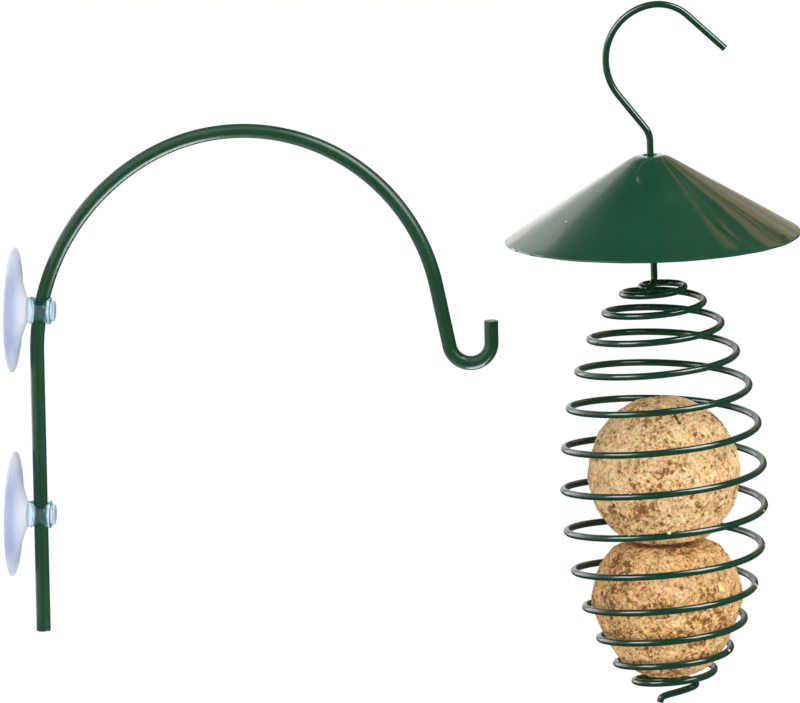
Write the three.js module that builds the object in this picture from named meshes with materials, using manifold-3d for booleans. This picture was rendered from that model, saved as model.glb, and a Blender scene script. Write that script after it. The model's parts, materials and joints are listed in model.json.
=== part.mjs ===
// Hanging fat-ball feeder with its window bracket.
// Millimetres, +Z up. The window pane is the plane x = 0, and the bracket reaches away from it along +X.
// The origin lies on the pane, midway between the two suction cups. The feeder hangs beside the bracket.

import * as THREE from 'three';
import { mergeVertices } from 'three/addons/utils/BufferGeometryUtils.js';
import Module from 'manifold-3d';

const wasm = await Module();
wasm.setup();

// Bracket rod, from its foot up the shank, over the arch and down to the small hook
const ROD_DIAMETER = 6.2;
const SHANK_LENGTH = 122.8;
const ARCH_RISE_RADIUS = 101;
const ARCH_RISE_TURN = 62;
const ARCH_FALL_RADIUS = 84.5;
const ARCH_FALL_TURN = 106.8;
const ARCH_DROP = 27.2;
const ROD_HOOK_RADIUS = 9.3;
const ROD_HOOK_TIP = 9.5;
const ROD_END_ROUND = 0.7;

// Suction cups and their places on the rod, measured along it from the foot
const LOWER_CUP_ALONG_ROD = 51.8;
const UPPER_CUP_ALONG_ROD = 142.3;
const CUP_DIAMETER = 54.5;
const CUP_LIP_WIDTH = 2;
const CUP_LIP_THICKNESS = 0.8;
const CUP_CROWN_WALL = 2;
const BELL_SAG = 0.42;
const HOLLOW_SAG = 0.33;
const NECK_DIAMETER = 11.3;
const NECK_LENGTH = 1.6;
const KNOB_DIAMETER = 12.2;
const KNOB_FACE_WALL = 0.9;
const KNOB_END_WALL = 1.6;
const KNOB_CORNER = 0.7;
const END_DISC_DIAMETER = 8.8;
const END_DISC_THICKNESS = 1.2;
const END_DISC_GROOVE = 0.5;
const ROD_TO_PANE = 12.3;
const ROD_FIT = 0.3;
const HOLE_OVERRUN = 1;

// Feeder: how far its roof stands beside the bracket, where the roof seat hangs, and its lean out of plumb
const FEEDER_BESIDE_BRACKET = 2.1;
const FEEDER_SEAT_HEIGHT = 119.5;
const FEEDER_LEAN = 1.9;

// Feeder wire: hook, stem, spiral and tail in one length
const WIRE_DIAMETER = 3;
const HOOK_RISE = 7.2;
const HOOK_SWAY_RADIUS = 9.5;
const HOOK_SWAY_TURN = 38;
const HOOK_SHAFT = 17.8;
const HOOK_CROWN_RADIUS = 24.8;
const HOOK_CROWN_TURN = 117;
const HOOK_NOSE_RADIUS = 18.7;
const HOOK_NOSE_TURN = 54;
const HOOK_TIP = 21.8;
const WIRE_END_ROUND = 0.4;
const STEM_BELOW_SEAT = 52.8;
const STEM_BEND_REACH = 3.9;

// Spiral: turns wound on an egg-shaped form, with even steps of the form's polar angle
const SPIRAL_RADIUS = 43.7;
const SPIRAL_HALF_HEIGHT = 91.3;
const SPIRAL_FIRST_POLAR = 8.4;
const SPIRAL_LEVEL_POLAR = 15;
const SPIRAL_LAST_ABOVE_POLE = 14.8;
const SPIRAL_TURNS = 13.57;
const SPIRAL_START_ANGLE = 215;
const SPIRAL_OFF_STEM = 1.5;
const SPIRAL_BELOW_STEM = 4.4;

// Tail: the last of the wire runs in under the spiral and its tip is turned down
const TAIL_INWARD = 15;
const TAIL_ONWARD = 3.4;
const TAIL_BEND_REACH = 6;
const TAIL_DROP = 3.8;
const TAIL_TIP = 2.6;
const TAIL_TIP_LEAN = 0.75;

// Crimp in the stem that carries the washer under the roof
const CRIMP_SPREAD = 1.5;
const CRIMP_LENGTH = 4.5;
const CRIMP_SHOULDER = 0.4;
const CRIMP_TAPER = 1.6;
const WASHER_FIT = 0.7;
const WASHER_LAND = 2.45;
const WASHER_THICKNESS = 1;
const SEAT_GAP = 0.3;

// Roof, a pressed sheet cone with a flat crown
const ROOF_DIAMETER = 128.6;
const ROOF_HEIGHT = 35.6;
const ROOF_SHEET = 0.8;
const ROOF_HOLE_PLAY = 3.1;
const CROWN_BEYOND_WASHER = 2.2;
const CROWN_ROUND = 2.6;

// Fat balls, a little uneven and flattened where they lie on each other
const BALL_DIAMETER = 68;
const BALL_END_FLAT = 16.4;
const UPPER_BALL_JOINT_FLAT = 32;
const LOWER_BALL_JOINT_FLAT = 42.6;
const BALL_EDGE_ROUND = 3.5;
const BALL_UNEVEN = 1.5;
const BALL_WAVES = 5;
const BALL_LUMP_WAVES = 11;
const BALL_LUMP_SHARE = 0.45;
const BALL_TO_WIRE = 0.5;
const BALL_TO_BALL = 0.4;
const BALL_WAIST_ROOM = 0.25;
const UPPER_BALL_PHASE = 0.6;
const LOWER_BALL_PHASE = 2.3;

// Fineness of the facets
const ROD_SIDES = 14;
const WIRE_SIDES = 8;
const BEND_STEP = 7;
const STEPS_PER_TURN = 24;
const CURVE_STEPS = 8;
const HOLE_SEGMENTS = 20;
const CUP_SEGMENTS = 40;
const ROOF_SEGMENTS = 64;
const BALL_SEGMENTS = 48;

const radians = THREE.MathUtils.degToRad;

const green = { color: 0x1a4a34, roughness: 0.35, metalness: 0.1 };
const darkGreen = { color: 0x12321f, roughness: 0.3, metalness: 0.1 };
const clear = { color: 0xc8cdeb, roughness: 0.15, metalness: 0, transparent: true, opacity: 0.5 };
const zinc = { color: 0xa9adb0, roughness: 0.4, metalness: 0.9 };
const tan = { color: 0xc79a5e, roughness: 0.95, metalness: 0 };

// Geometry helpers

function piece(name, geometry, look) {
  const mesh = new THREE.Mesh(geometry, new THREE.MeshStandardMaterial(look));
  mesh.name = name;
  return mesh;
}

// Joins equal vertices and drops the empty triangles that a revolve leaves at its axis.
function weld(geometry) {
  const bare = geometry.index ? geometry.toNonIndexed() : geometry.clone();
  bare.deleteAttribute('normal');
  bare.deleteAttribute('uv');
  const merged = mergeVertices(bare, 1e-4);
  const kept = [];
  const corners = merged.index.array;
  for (let i = 0; i < corners.length; i += 3) {
    const [a, b, c] = corners.slice(i, i + 3);
    if (a !== b && b !== c && c !== a) kept.push(a, b, c);
  }
  merged.setIndex(kept);
  return merged;
}

function toSolid(geometry) {
  const welded = weld(geometry);
  return new wasm.Manifold(new wasm.Mesh({
    numProp: 3,
    vertProperties: new Float32Array(welded.attributes.position.array),
    triVerts: new Uint32Array(welded.index.array),
  }));
}

function toGeometry(solid) {
  const mesh = solid.getMesh();
  const geometry = new THREE.BufferGeometry();
  geometry.setAttribute('position', new THREE.BufferAttribute(new Float32Array(mesh.vertProperties), 3));
  geometry.setIndex(Array.from(mesh.triVerts));
  geometry.computeVertexNormals();
  return geometry;
}

// A flat wire path of straight runs and bends. A left bend has a turn above zero, in degrees.
function bentPath(headingDegrees, runs) {
  const path = new THREE.CurvePath();
  const at = new THREE.Vector2();
  let heading = radians(headingDegrees);
  for (const { length, radius, turn } of runs) {
    if (length) {
      const end = new THREE.Vector2(Math.cos(heading), Math.sin(heading)).multiplyScalar(length).add(at);
      path.add(new THREE.LineCurve(at.clone(), end));
      at.copy(end);
    } else {
      const side = Math.sign(turn);
      const toLeft = new THREE.Vector2(-Math.sin(heading), Math.cos(heading));
      const centre = toLeft.multiplyScalar(side * radius).add(at);
      const from = heading - (side * Math.PI) / 2;
      const to = from + radians(turn);
      path.add(new THREE.EllipseCurve(centre.x, centre.y, radius, radius, from, to, side < 0));
      at.set(Math.cos(to), Math.sin(to)).multiplyScalar(radius).add(centre);
      heading += radians(turn);
    }
  }
  return path;
}

// Points of a flat path, stood up in the x-z plane: only the ends of straight runs, even steps on bends.
function pathPoints(path) {
  const points = [];
  for (const curve of path.curves) {
    const sweep = curve.isEllipseCurve ? Math.abs(curve.aEndAngle - curve.aStartAngle) : 0;
    const steps = Math.max(1, Math.ceil(sweep / radians(BEND_STEP)));
    const from = points.length ? 1 : 0;
    for (let i = from; i <= steps; i++) {
      const { x, y } = curve.getPoint(i / steps);
      points.push(new THREE.Vector3(x, 0, y));
    }
  }
  return points;
}

// Adds a point close to each end, so that the end of a bar can be rounded over.
function roundedEnds(points, round) {
  const last = points.length - 1;
  const first = points[0].clone().lerp(points[1], round / points[0].distanceTo(points[1]));
  const end = points[last];
  const final = end.clone().lerp(points[last - 1], round / end.distanceTo(points[last - 1]));
  return [points[0], first, ...points.slice(1, last), final, end];
}

// One closed bar along a row of points. section gives each ring's width and thickness against a round one.
function sweepBar(points, diameter, sides, section) {
  const last = points.length - 1;
  const positions = [];
  const triangles = [];
  const side = new THREE.Vector3(0, 1, 0);
  const across = new THREE.Vector3();
  points.forEach((point, i) => {
    const ahead = points[Math.min(i + 1, last)];
    const along = ahead.clone().sub(points[Math.max(i - 1, 0)]).normalize();
    side.addScaledVector(along, -side.dot(along)).normalize();
    across.crossVectors(side, along);
    const [width, thickness] = section(i, last);
    for (let s = 0; s < sides; s++) {
      const angle = (2 * Math.PI * (s + 0.5)) / sides;
      const corner = point.clone();
      corner.addScaledVector(across, (Math.cos(angle) * width * diameter) / 2);
      corner.addScaledVector(side, (Math.sin(angle) * thickness * diameter) / 2);
      positions.push(...corner.toArray());
    }
  });
  const ring = (i, s) => i * sides + (s % sides);
  for (let i = 0; i < last; i++) {
    for (let s = 0; s < sides; s++) {
      triangles.push(ring(i, s), ring(i, s + 1), ring(i + 1, s));
      triangles.push(ring(i, s + 1), ring(i + 1, s + 1), ring(i + 1, s));
    }
  }
  const startCentre = positions.length / 3;
  positions.push(...points[0].toArray(), ...points[last].toArray());
  for (let s = 0; s < sides; s++) {
    triangles.push(startCentre, ring(0, s + 1), ring(0, s));
    triangles.push(startCentre + 1, ring(last, s), ring(last, s + 1));
  }
  const geometry = new THREE.BufferGeometry();
  geometry.setAttribute('position', new THREE.Float32BufferAttribute(positions, 3));
  geometry.setIndex(triangles);
  geometry.computeVertexNormals();
  return geometry;
}

const END_SHRINK = 0.72;
const roundBar = (i, last) => (i === 0 || i === last ? [END_SHRINK, END_SHRINK] : [1, 1]);

// Bracket rod

const rodPath = bentPath(90, [
  { length: SHANK_LENGTH },
  { radius: ARCH_RISE_RADIUS, turn: -ARCH_RISE_TURN },
  { radius: ARCH_FALL_RADIUS, turn: -ARCH_FALL_TURN },
  { length: ARCH_DROP },
  { radius: ROD_HOOK_RADIUS, turn: ARCH_RISE_TURN + ARCH_FALL_TURN },
  { length: ROD_HOOK_TIP },
]);

const onRod = (along) => rodPath.getPoint(along / rodPath.getLength());
const lowerHole = onRod(LOWER_CUP_ALONG_ROD);
const upperHole = onRod(UPPER_CUP_ALONG_ROD);
const cupSpacing = lowerHole.distanceTo(upperHole);

// The rod is turned a little in its plane, so that both cups meet the pane.
const rodLean = Math.atan2(upperHole.x - lowerHole.x, upperHole.y - lowerHole.y);

function bracketRod() {
  const points = roundedEnds(pathPoints(rodPath), ROD_END_ROUND);
  const rod = piece('bracket_rod', sweepBar(points, ROD_DIAMETER, ROD_SIDES, roundBar), green);
  rod.position.set(-lowerHole.x, 0, -lowerHole.y);
  const leaning = new THREE.Group();
  leaning.add(rod);
  leaning.rotation.y = -rodLean;
  leaning.position.set(ROD_TO_PANE, 0, -cupSpacing / 2);
  return leaning;
}

// How far the rod's middle strays from plumb between the middle and the mouth of a knob's hole
function rodStray() {
  const half = KNOB_DIAMETER / 2;
  const plumb = new THREE.Vector2(Math.sin(rodLean), Math.cos(rodLean));
  const strays = [LOWER_CUP_ALONG_ROD, UPPER_CUP_ALONG_ROD].flatMap((along) => {
    const middle = onRod(along);
    return [-half, half].map((step) => Math.abs(onRod(along + step).sub(middle).cross(plumb)));
  });
  return Math.max(...strays);
}

// Suction cups

function cupProfile() {
  const rim = CUP_DIAMETER / 2;
  const neck = NECK_DIAMETER / 2;
  const knob = KNOB_DIAMETER / 2;
  const disc = END_DISC_DIAMETER / 2;
  const knobFace = ROD_TO_PANE - ROD_DIAMETER / 2 - ROD_FIT - KNOB_FACE_WALL;
  const knobEnd = ROD_TO_PANE + ROD_DIAMETER / 2 + KNOB_END_WALL;
  const discFace = knobEnd + END_DISC_GROOVE;
  const bellTop = knobFace - NECK_LENGTH;
  const hollowTop = bellTop - CUP_CROWN_WALL;
  const point = (radius, out) => new THREE.Vector2(radius, out);
  const hollow = new THREE.QuadraticBezierCurve(
    point(0, hollowTop),
    point(rim / 2, hollowTop * HOLLOW_SAG),
    point(rim - CUP_LIP_WIDTH, 0),
  );
  const bell = new THREE.QuadraticBezierCurve(
    point(rim, CUP_LIP_THICKNESS),
    point(rim / 2, bellTop * BELL_SAG),
    point(neck, bellTop),
  );
  return [
    ...hollow.getPoints(CURVE_STEPS),
    point(rim, 0),
    ...bell.getPoints(CURVE_STEPS),
    point(neck, knobFace),
    point(knob - KNOB_CORNER, knobFace),
    point(knob, knobFace + KNOB_CORNER),
    point(knob, knobEnd - KNOB_CORNER),
    point(knob - KNOB_CORNER, knobEnd),
    point(disc - END_DISC_GROOVE, knobEnd),
    point(disc - END_DISC_GROOVE, discFace),
    point(disc, discFace),
    point(disc, discFace + END_DISC_THICKNESS),
    point(0, discFace + END_DISC_THICKNESS),
  ];
}

// The hole for the rod is narrow in the middle and flares to both mouths, so the bent rod can turn in it.
function rodHole() {
  const slant = (2 * rodStray()) / KNOB_DIAMETER;
  const reach = KNOB_DIAMETER / 2 + HOLE_OVERRUN;
  const waist = (ROD_DIAMETER / 2) * Math.hypot(1, slant) + ROD_FIT;
  const mouth = waist + slant * reach;
  const outline = [
    new THREE.Vector2(0, -reach),
    new THREE.Vector2(mouth, -reach),
    new THREE.Vector2(waist, 0),
    new THREE.Vector2(mouth, reach),
    new THREE.Vector2(0, reach),
  ];
  const hole = new THREE.LatheGeometry(outline, HOLE_SEGMENTS);
  hole.rotateX(Math.PI / 2);
  hole.translate(ROD_TO_PANE, 0, 0);
  return hole;
}

function suctionCup(name, height) {
  const body = new THREE.LatheGeometry(cupProfile(), CUP_SEGMENTS);
  body.rotateZ(-Math.PI / 2);
  const cup = piece(name, toGeometry(toSolid(body).subtract(toSolid(rodHole()))), clear);
  cup.position.z = height;
  return cup;
}

// Feeder wire

const spiralAxis = SPIRAL_OFF_STEM;
const spiralFirst = radians(SPIRAL_FIRST_POLAR);
const spiralLast = Math.PI - radians(SPIRAL_LAST_ABOVE_POLE);
const spiralLevel = radians(SPIRAL_LEVEL_POLAR);
const spiralTop = -STEM_BELOW_SEAT - SPIRAL_BELOW_STEM;
const spiralMiddle = spiralTop - SPIRAL_HALF_HEIGHT * Math.cos(spiralLevel);

// Point of the spiral at a share of its turns, 0 at the top and 1 at the bottom. The first curl stays level.
function onSpiral(share) {
  const polar = spiralFirst + (spiralLast - spiralFirst) * share;
  const angle = radians(SPIRAL_START_ANGLE) - 2 * Math.PI * SPIRAL_TURNS * share;
  const radius = SPIRAL_RADIUS * Math.sin(polar);
  const height = spiralMiddle + SPIRAL_HALF_HEIGHT * Math.cos(Math.max(polar, spiralLevel));
  return new THREE.Vector3(spiralAxis + radius * Math.cos(angle), radius * Math.sin(angle), height);
}

const spiralSteps = Math.round(SPIRAL_TURNS * STEPS_PER_TURN);
const spiralPoints = Array.from({ length: spiralSteps + 1 }, (_, i) => onSpiral(i / spiralSteps));

// Least air between turns of the spiral, taken between points at least half a turn apart
function leastTurnGap() {
  let least = Infinity;
  for (let i = 0; i < spiralPoints.length; i++) {
    for (let j = i + STEPS_PER_TURN / 2; j < spiralPoints.length; j++) {
      least = Math.min(least, spiralPoints[i].distanceTo(spiralPoints[j]));
    }
  }
  return least - WIRE_DIAMETER;
}

function hookPoints() {
  const path = bentPath(90, [
    { length: HOOK_RISE },
    { radius: HOOK_SWAY_RADIUS, turn: HOOK_SWAY_TURN },
    { length: HOOK_SHAFT },
    { radius: HOOK_CROWN_RADIUS, turn: -HOOK_CROWN_TURN },
    { radius: HOOK_NOSE_RADIUS, turn: -HOOK_NOSE_TURN },
    { length: HOOK_TIP },
  ]);
  return pathPoints(path).reverse();
}

// The stem's end swings forward and left into the first turn of the spiral.
function stemBend() {
  const start = new THREE.Vector3(0, 0, -STEM_BELOW_SEAT);
  const end = spiralPoints[0];
  const inward = end.clone().sub(spiralPoints[1]).normalize();
  const curve = new THREE.CubicBezierCurve3(
    start,
    start.clone().add(new THREE.Vector3(0, 0, -STEM_BEND_REACH)),
    end.clone().addScaledVector(inward, STEM_BEND_REACH),
    end,
  );
  return curve.getPoints(CURVE_STEPS).slice(0, -1);
}

function tailPoints() {
  const last = spiralPoints.length - 1;
  const start = spiralPoints[last];
  const onward = start.clone().sub(spiralPoints[last - 1]).normalize();
  const inward = new THREE.Vector3(spiralAxis - start.x, -start.y, 0).normalize();
  const elbow = start.clone().addScaledVector(inward, TAIL_INWARD).addScaledVector(onward, TAIL_ONWARD);
  elbow.z -= TAIL_DROP;
  const run = new THREE.QuadraticBezierCurve3(
    start,
    start.clone().addScaledVector(onward, TAIL_BEND_REACH),
    elbow,
  );
  const tip = elbow.clone().addScaledVector(inward, TAIL_TIP_LEAN);
  tip.z -= TAIL_TIP;
  return [...run.getPoints(CURVE_STEPS).slice(1), tip];
}

// Heights along the stem where the crimp starts, is full, and ends
function crimpHeights() {
  const top = -2 * SEAT_GAP - WASHER_THICKNESS;
  return [top, top - CRIMP_SHOULDER, top - CRIMP_LENGTH + CRIMP_TAPER, top - CRIMP_LENGTH];
}

// The wire from the tip of the hook to the tip of the tail, pressed flat at the crimp
function feederWire() {
  const crimp = crimpHeights().map((height) => new THREE.Vector3(0, 0, height));
  const points = roundedEnds(
    [...hookPoints(), ...crimp, ...stemBend(), ...spiralPoints, ...tailPoints()],
    WIRE_END_ROUND,
  );
  const full = [points.indexOf(crimp[1]), points.indexOf(crimp[2])];
  const spread = (washerBore + CRIMP_SPREAD) / WIRE_DIAMETER;
  const section = (i, last) => (full.includes(i) ? [spread, 1 / spread] : roundBar(i, last));
  return piece('feeder_wire', sweepBar(points, WIRE_DIAMETER, WIRE_SIDES, section), darkGreen);
}

// Washer and roof

const washerBore = WIRE_DIAMETER + WASHER_FIT;
const roofHole = WIRE_DIAMETER + ROOF_HOLE_PLAY;
const washerDiameter = roofHole + 2 * WASHER_LAND;
const crownDiameter = washerDiameter + CROWN_BEYOND_WASHER;

function roofWasher() {
  const point = (diameter, height) => new THREE.Vector2(diameter / 2, height);
  const outline = [
    point(washerBore, 0),
    point(washerDiameter, 0),
    point(washerDiameter, WASHER_THICKNESS),
    point(washerBore, WASHER_THICKNESS),
    point(washerBore, 0),
  ];
  const washer = new THREE.LatheGeometry(outline, HOLE_SEGMENTS);
  washer.rotateX(Math.PI / 2);
  washer.translate(0, 0, -SEAT_GAP - WASHER_THICKNESS);
  return piece('roof_washer', weld(washer), zinc);
}

// Outline of one face of the sheet from the hole to the rim. depth is the sheet between it and the underside.
function roofOutline(depth) {
  const crown = crownDiameter / 2;
  const rim = ROOF_DIAMETER / 2;
  const slope = ROOF_HEIGHT / (rim - crown);
  const lift = depth * Math.hypot(1, slope);
  const knee = crown + (lift - depth) / slope;
  const round = new THREE.QuadraticBezierCurve(
    new THREE.Vector2(knee - CROWN_ROUND, depth),
    new THREE.Vector2(knee, depth),
    new THREE.Vector2(knee + CROWN_ROUND, depth - CROWN_ROUND * slope),
  );
  const edge = new THREE.Vector2(rim, lift - ROOF_HEIGHT);
  return [new THREE.Vector2(roofHole / 2, depth), ...round.getPoints(CURVE_STEPS), edge];
}

function roof() {
  const upper = roofOutline(ROOF_SHEET);
  const lower = roofOutline(0).reverse();
  const outline = [...lower, ...upper, lower[0].clone()].reverse();
  const cone = new THREE.LatheGeometry(outline, ROOF_SEGMENTS);
  cone.rotateX(Math.PI / 2);
  return piece('roof', weld(cone), green);
}

// Fat balls

const ballRadius = BALL_DIAMETER / 2;
const cageInset = WIRE_DIAMETER / 2 + BALL_TO_WIRE;
const cageRadius = SPIRAL_RADIUS - cageInset;
const cageHalfHeight = SPIRAL_HALF_HEIGHT - cageInset;

// Length of the other leg of a right triangle, and nothing where the leg would be the longer side
const otherLeg = (longest, leg) => Math.sqrt(Math.max(0, longest ** 2 - leg ** 2));

// Height over the spiral's middle at which the room inside the turns has narrowed to a radius
const heightOfRoom = (radius) => cageHalfHeight * otherLeg(1, radius / cageRadius);

// Radius left free inside the turns at a height over the spiral's middle
const roomAtHeight = (height) => cageRadius * otherLeg(1, height / cageHalfHeight);

// Each ball has the height of its middle over the spiral's middle, and its reach up and down from there.
const ballReach = (flat) => otherLeg(ballRadius, flat / 2);
const endRoom = heightOfRoom(BALL_END_FLAT / 2);

const lowerBall = { height: -heightOfRoom(ballRadius + BALL_WAIST_ROOM), phase: LOWER_BALL_PHASE };
lowerBall.up = ballReach(LOWER_BALL_JOINT_FLAT);
lowerBall.down = Math.min(ballReach(BALL_END_FLAT), endRoom + lowerBall.height);

const upperBall = { down: ballReach(UPPER_BALL_JOINT_FLAT), phase: UPPER_BALL_PHASE };
upperBall.height = lowerBall.height + lowerBall.up + BALL_TO_BALL + upperBall.down;
upperBall.up = Math.min(ballReach(BALL_END_FLAT), endRoom - upperBall.height);

// Half outline of a ball from bottom to top, kept inside the turns
function ballOutline({ height, up, down }) {
  const ease = BALL_EDGE_ROUND / ballRadius;
  const from = ease - Math.asin(down / ballRadius);
  const to = Math.asin(up / ballRadius) - ease;
  const side = new THREE.EllipseCurve(0, 0, ballRadius, ballRadius, from, to).getPoints(3 * CURVE_STEPS);
  const flat = (reach) => Math.max(otherLeg(ballRadius, reach) - BALL_EDGE_ROUND, BALL_EDGE_ROUND);
  const point = (across, above) => new THREE.Vector2(Math.min(across, roomAtHeight(height + above)), above);
  return [
    new THREE.Vector2(0, -down),
    point(flat(down), -down),
    ...side.map(({ x, y }) => point(x, y)),
    point(flat(up), up),
    point(flat(up) / 2, up),
    new THREE.Vector2(0, up),
  ];
}

// A ball with lumps on its sides. Its flats stay plane.
function fatBall(name, ball) {
  const lathe = new THREE.LatheGeometry(ballOutline(ball), BALL_SEGMENTS);
  lathe.rotateX(Math.PI / 2);
  const lump = weld(lathe);
  const spots = lump.attributes.position;
  const wave = (waves, across) => Math.sin((waves * across) / ballRadius + ball.phase);
  const broad = ({ x, y, z }) => wave(BALL_WAVES, x) * wave(BALL_WAVES, y + z) * wave(BALL_WAVES, z);
  const lumps = ({ x, y, z }) => wave(BALL_LUMP_WAVES, x + z) * wave(BALL_LUMP_WAVES, y - z);
  for (let i = 0; i < spots.count; i++) {
    const spot = new THREE.Vector3().fromBufferAttribute(spots, i);
    const dent = (1 + THREE.MathUtils.lerp(broad(spot), lumps(spot), BALL_LUMP_SHARE)) / 2;
    const onSide = 1 - (spot.z / (spot.z > 0 ? ball.up : ball.down)) ** 4;
    spot.multiplyScalar(1 - (BALL_UNEVEN * dent * onSide) / ballRadius);
    spots.setXYZ(i, spot.x, spot.y, spot.z);
  }
  const mesh = piece(name, lump, tan);
  mesh.position.set(spiralAxis, 0, spiralMiddle + ball.height);
  return mesh;
}

// Assembly

const bracket = new THREE.Group();
bracket.add(
  bracketRod(),
  suctionCup('suction_cup_upper', cupSpacing / 2),
  suctionCup('suction_cup_lower', -cupSpacing / 2),
);

const bracketReach = new THREE.Box3().setFromObject(bracket, true).max.x;

const feeder = new THREE.Group();
feeder.add(
  feederWire(),
  roofWasher(),
  roof(),
  fatBall('fat_ball_upper', upperBall),
  fatBall('fat_ball_lower', lowerBall),
);
feeder.position.set(bracketReach + FEEDER_BESIDE_BRACKET + ROOF_DIAMETER / 2, 0, FEEDER_SEAT_HEIGHT);
feeder.rotation.y = -radians(FEEDER_LEAN);

console.log(`least gap between turns of the spiral: ${leastTurnGap().toFixed(2)} mm`);

const object = new THREE.Group();
object.add(bracket, feeder);

export default object;
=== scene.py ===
"""Looks of a hanging fat-ball feeder and its window bracket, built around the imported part."""

import json
import math

import bmesh
import bpy
import numpy as np
from bpy.props import FloatProperty, FloatVectorProperty, IntProperty, PointerProperty
from mathutils import Matrix, Quaternion, Vector, noise
from mathutils.bvhtree import BVHTree


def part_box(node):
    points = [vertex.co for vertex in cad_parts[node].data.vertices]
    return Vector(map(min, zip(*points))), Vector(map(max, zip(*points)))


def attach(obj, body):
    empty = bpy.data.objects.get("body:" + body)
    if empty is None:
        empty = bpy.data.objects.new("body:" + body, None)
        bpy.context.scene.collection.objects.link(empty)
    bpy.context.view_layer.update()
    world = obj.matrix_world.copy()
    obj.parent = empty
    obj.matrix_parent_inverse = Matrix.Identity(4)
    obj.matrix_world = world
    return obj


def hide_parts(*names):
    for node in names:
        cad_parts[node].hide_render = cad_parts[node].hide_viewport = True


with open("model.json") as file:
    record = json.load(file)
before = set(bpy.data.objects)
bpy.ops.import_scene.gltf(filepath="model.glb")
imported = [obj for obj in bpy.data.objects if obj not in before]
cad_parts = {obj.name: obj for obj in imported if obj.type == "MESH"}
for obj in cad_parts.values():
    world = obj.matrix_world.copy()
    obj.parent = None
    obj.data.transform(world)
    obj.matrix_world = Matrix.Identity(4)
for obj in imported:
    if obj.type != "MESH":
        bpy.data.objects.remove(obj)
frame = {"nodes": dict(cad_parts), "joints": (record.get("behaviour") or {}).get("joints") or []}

bl_info = {
    "name": "Fat-ball feeder and window bracket",
    "version": (1, 0, 0),
    "blender": (4, 5, 0),
    "location": "3D View > Sidebar > Feeder",
    "description": "Builds a hanging fat-ball feeder and its suction-cup bracket",
    "category": "Object",
}

MM = 0.001
SENSOR_MM = 36.0
JOINTS = {joint["name"]: joint for joint in frame["joints"]}
STEM_SEAT = np.array(JOINTS["washer turn"]["pos_m"])
STEM_AXIS = np.array(JOINTS["washer turn"]["axis"])
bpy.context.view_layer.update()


# Property helpers


def length(label, millimetres):
    """A size that a user may change, written here in millimetres."""
    return FloatProperty(name=label, default=millimetres * MM, unit="LENGTH")


def angle(label, degrees):
    """A turn that a user may change, written here in degrees."""
    return FloatProperty(name=label, default=math.radians(degrees), subtype="ANGLE")


def share(label, value):
    """A part of one that a user may change."""
    return FloatProperty(name=label, default=value, min=0, max=1, subtype="FACTOR")


def colour(label, *values):
    """A colour that a user may change."""
    return FloatVectorProperty(name=label, default=values, size=3, min=0, max=1, subtype="COLOR")


def count(label, value):
    """A whole number that a user may change."""
    return IntProperty(name=label, default=value, min=1)


# Settings


class RodSettings(bpy.types.PropertyGroup):
    """Sizes and colour of the bracket rod."""

    diameter: length("Diameter of the rod with its coat", 6.2)
    shank: length("Straight length from the foot to the arch", 122.8)
    rise_radius: length("Radius of the rising half of the arch", 101)
    rise_turn: angle("Turn of the rising half of the arch", 62)
    fall_radius: length("Radius of the falling half of the arch", 84.5)
    fall_turn: angle("Turn of the falling half of the arch", 106.8)
    drop: length("Straight length from the arch to the hook", 27.2)
    hook_radius: length("Radius of the small hook", 9.3)
    hook_tip: length("Straight length after the small hook", 9.5)
    end_round: length("Rounding of the coat at the ends", 0.5)
    lower_cup: length("Lower cup along the rod from its foot", 51.8)
    upper_cup: length("Upper cup along the rod from its foot", 142.3)
    coat: colour("Green plastic coat of the rod", 0.0075, 0.042, 0.020)
    sides: count("Facets round the rod", 40)


class CupSettings(bpy.types.PropertyGroup):
    """Sizes and colours of the suction cups."""

    diameter: length("Diameter of the rim of a cup", 54.5)
    lip: length("Width of the flat ring that meets the pane", 2)
    lip_thickness: length("Thickness of the rim at its edge", 0.8)
    crown_wall: length("Wall over the hollow", 2)
    neck: length("Diameter of the neck between bell and knob", 11.3)
    neck_length: length("Length of the neck", 1.6)
    knob: length("Diameter of the knob that holds the rod", 12.2)
    knob_waist: length("How far the knob's side is drawn in", 0.45)
    face_wall: length("Knob wall between rod and neck", 0.9)
    end_wall: length("Knob wall beyond the rod", 1.6)
    disc: length("Diameter of the thin end disc", 8.8)
    disc_thickness: length("Thickness of the thin end disc", 1.2)
    groove: length("Groove between knob and end disc", 0.5)
    rod_to_pane: length("Distance of the rod's middle from the pane", 12.3)
    fit: length("Room round the rod in its hole", 0.3)
    mouth: length("Flare of the hole from its middle to its mouths", 1.43)
    bell_tint: colour("Cloudy thin plastic of the bell", 0.82, 0.84, 0.91)
    # Painted deeper tint of a ring of the bell, where more plastic is seen through
    painted_see_through_tint: colour("Ring of the bell where the plastic looks deeper", 0.49, 0.54, 0.76)
    knob_tint: colour("Clear plastic of neck and knob", 0.68, 0.85, 0.95)
    # Painted green of the rod seen through the knob, laid round the knob's hole
    painted_rod_tint: colour("Green of the rod that the knob's hole takes up", 0.10, 0.36, 0.30)
    segments: count("Facets round a cup", 128)


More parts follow.
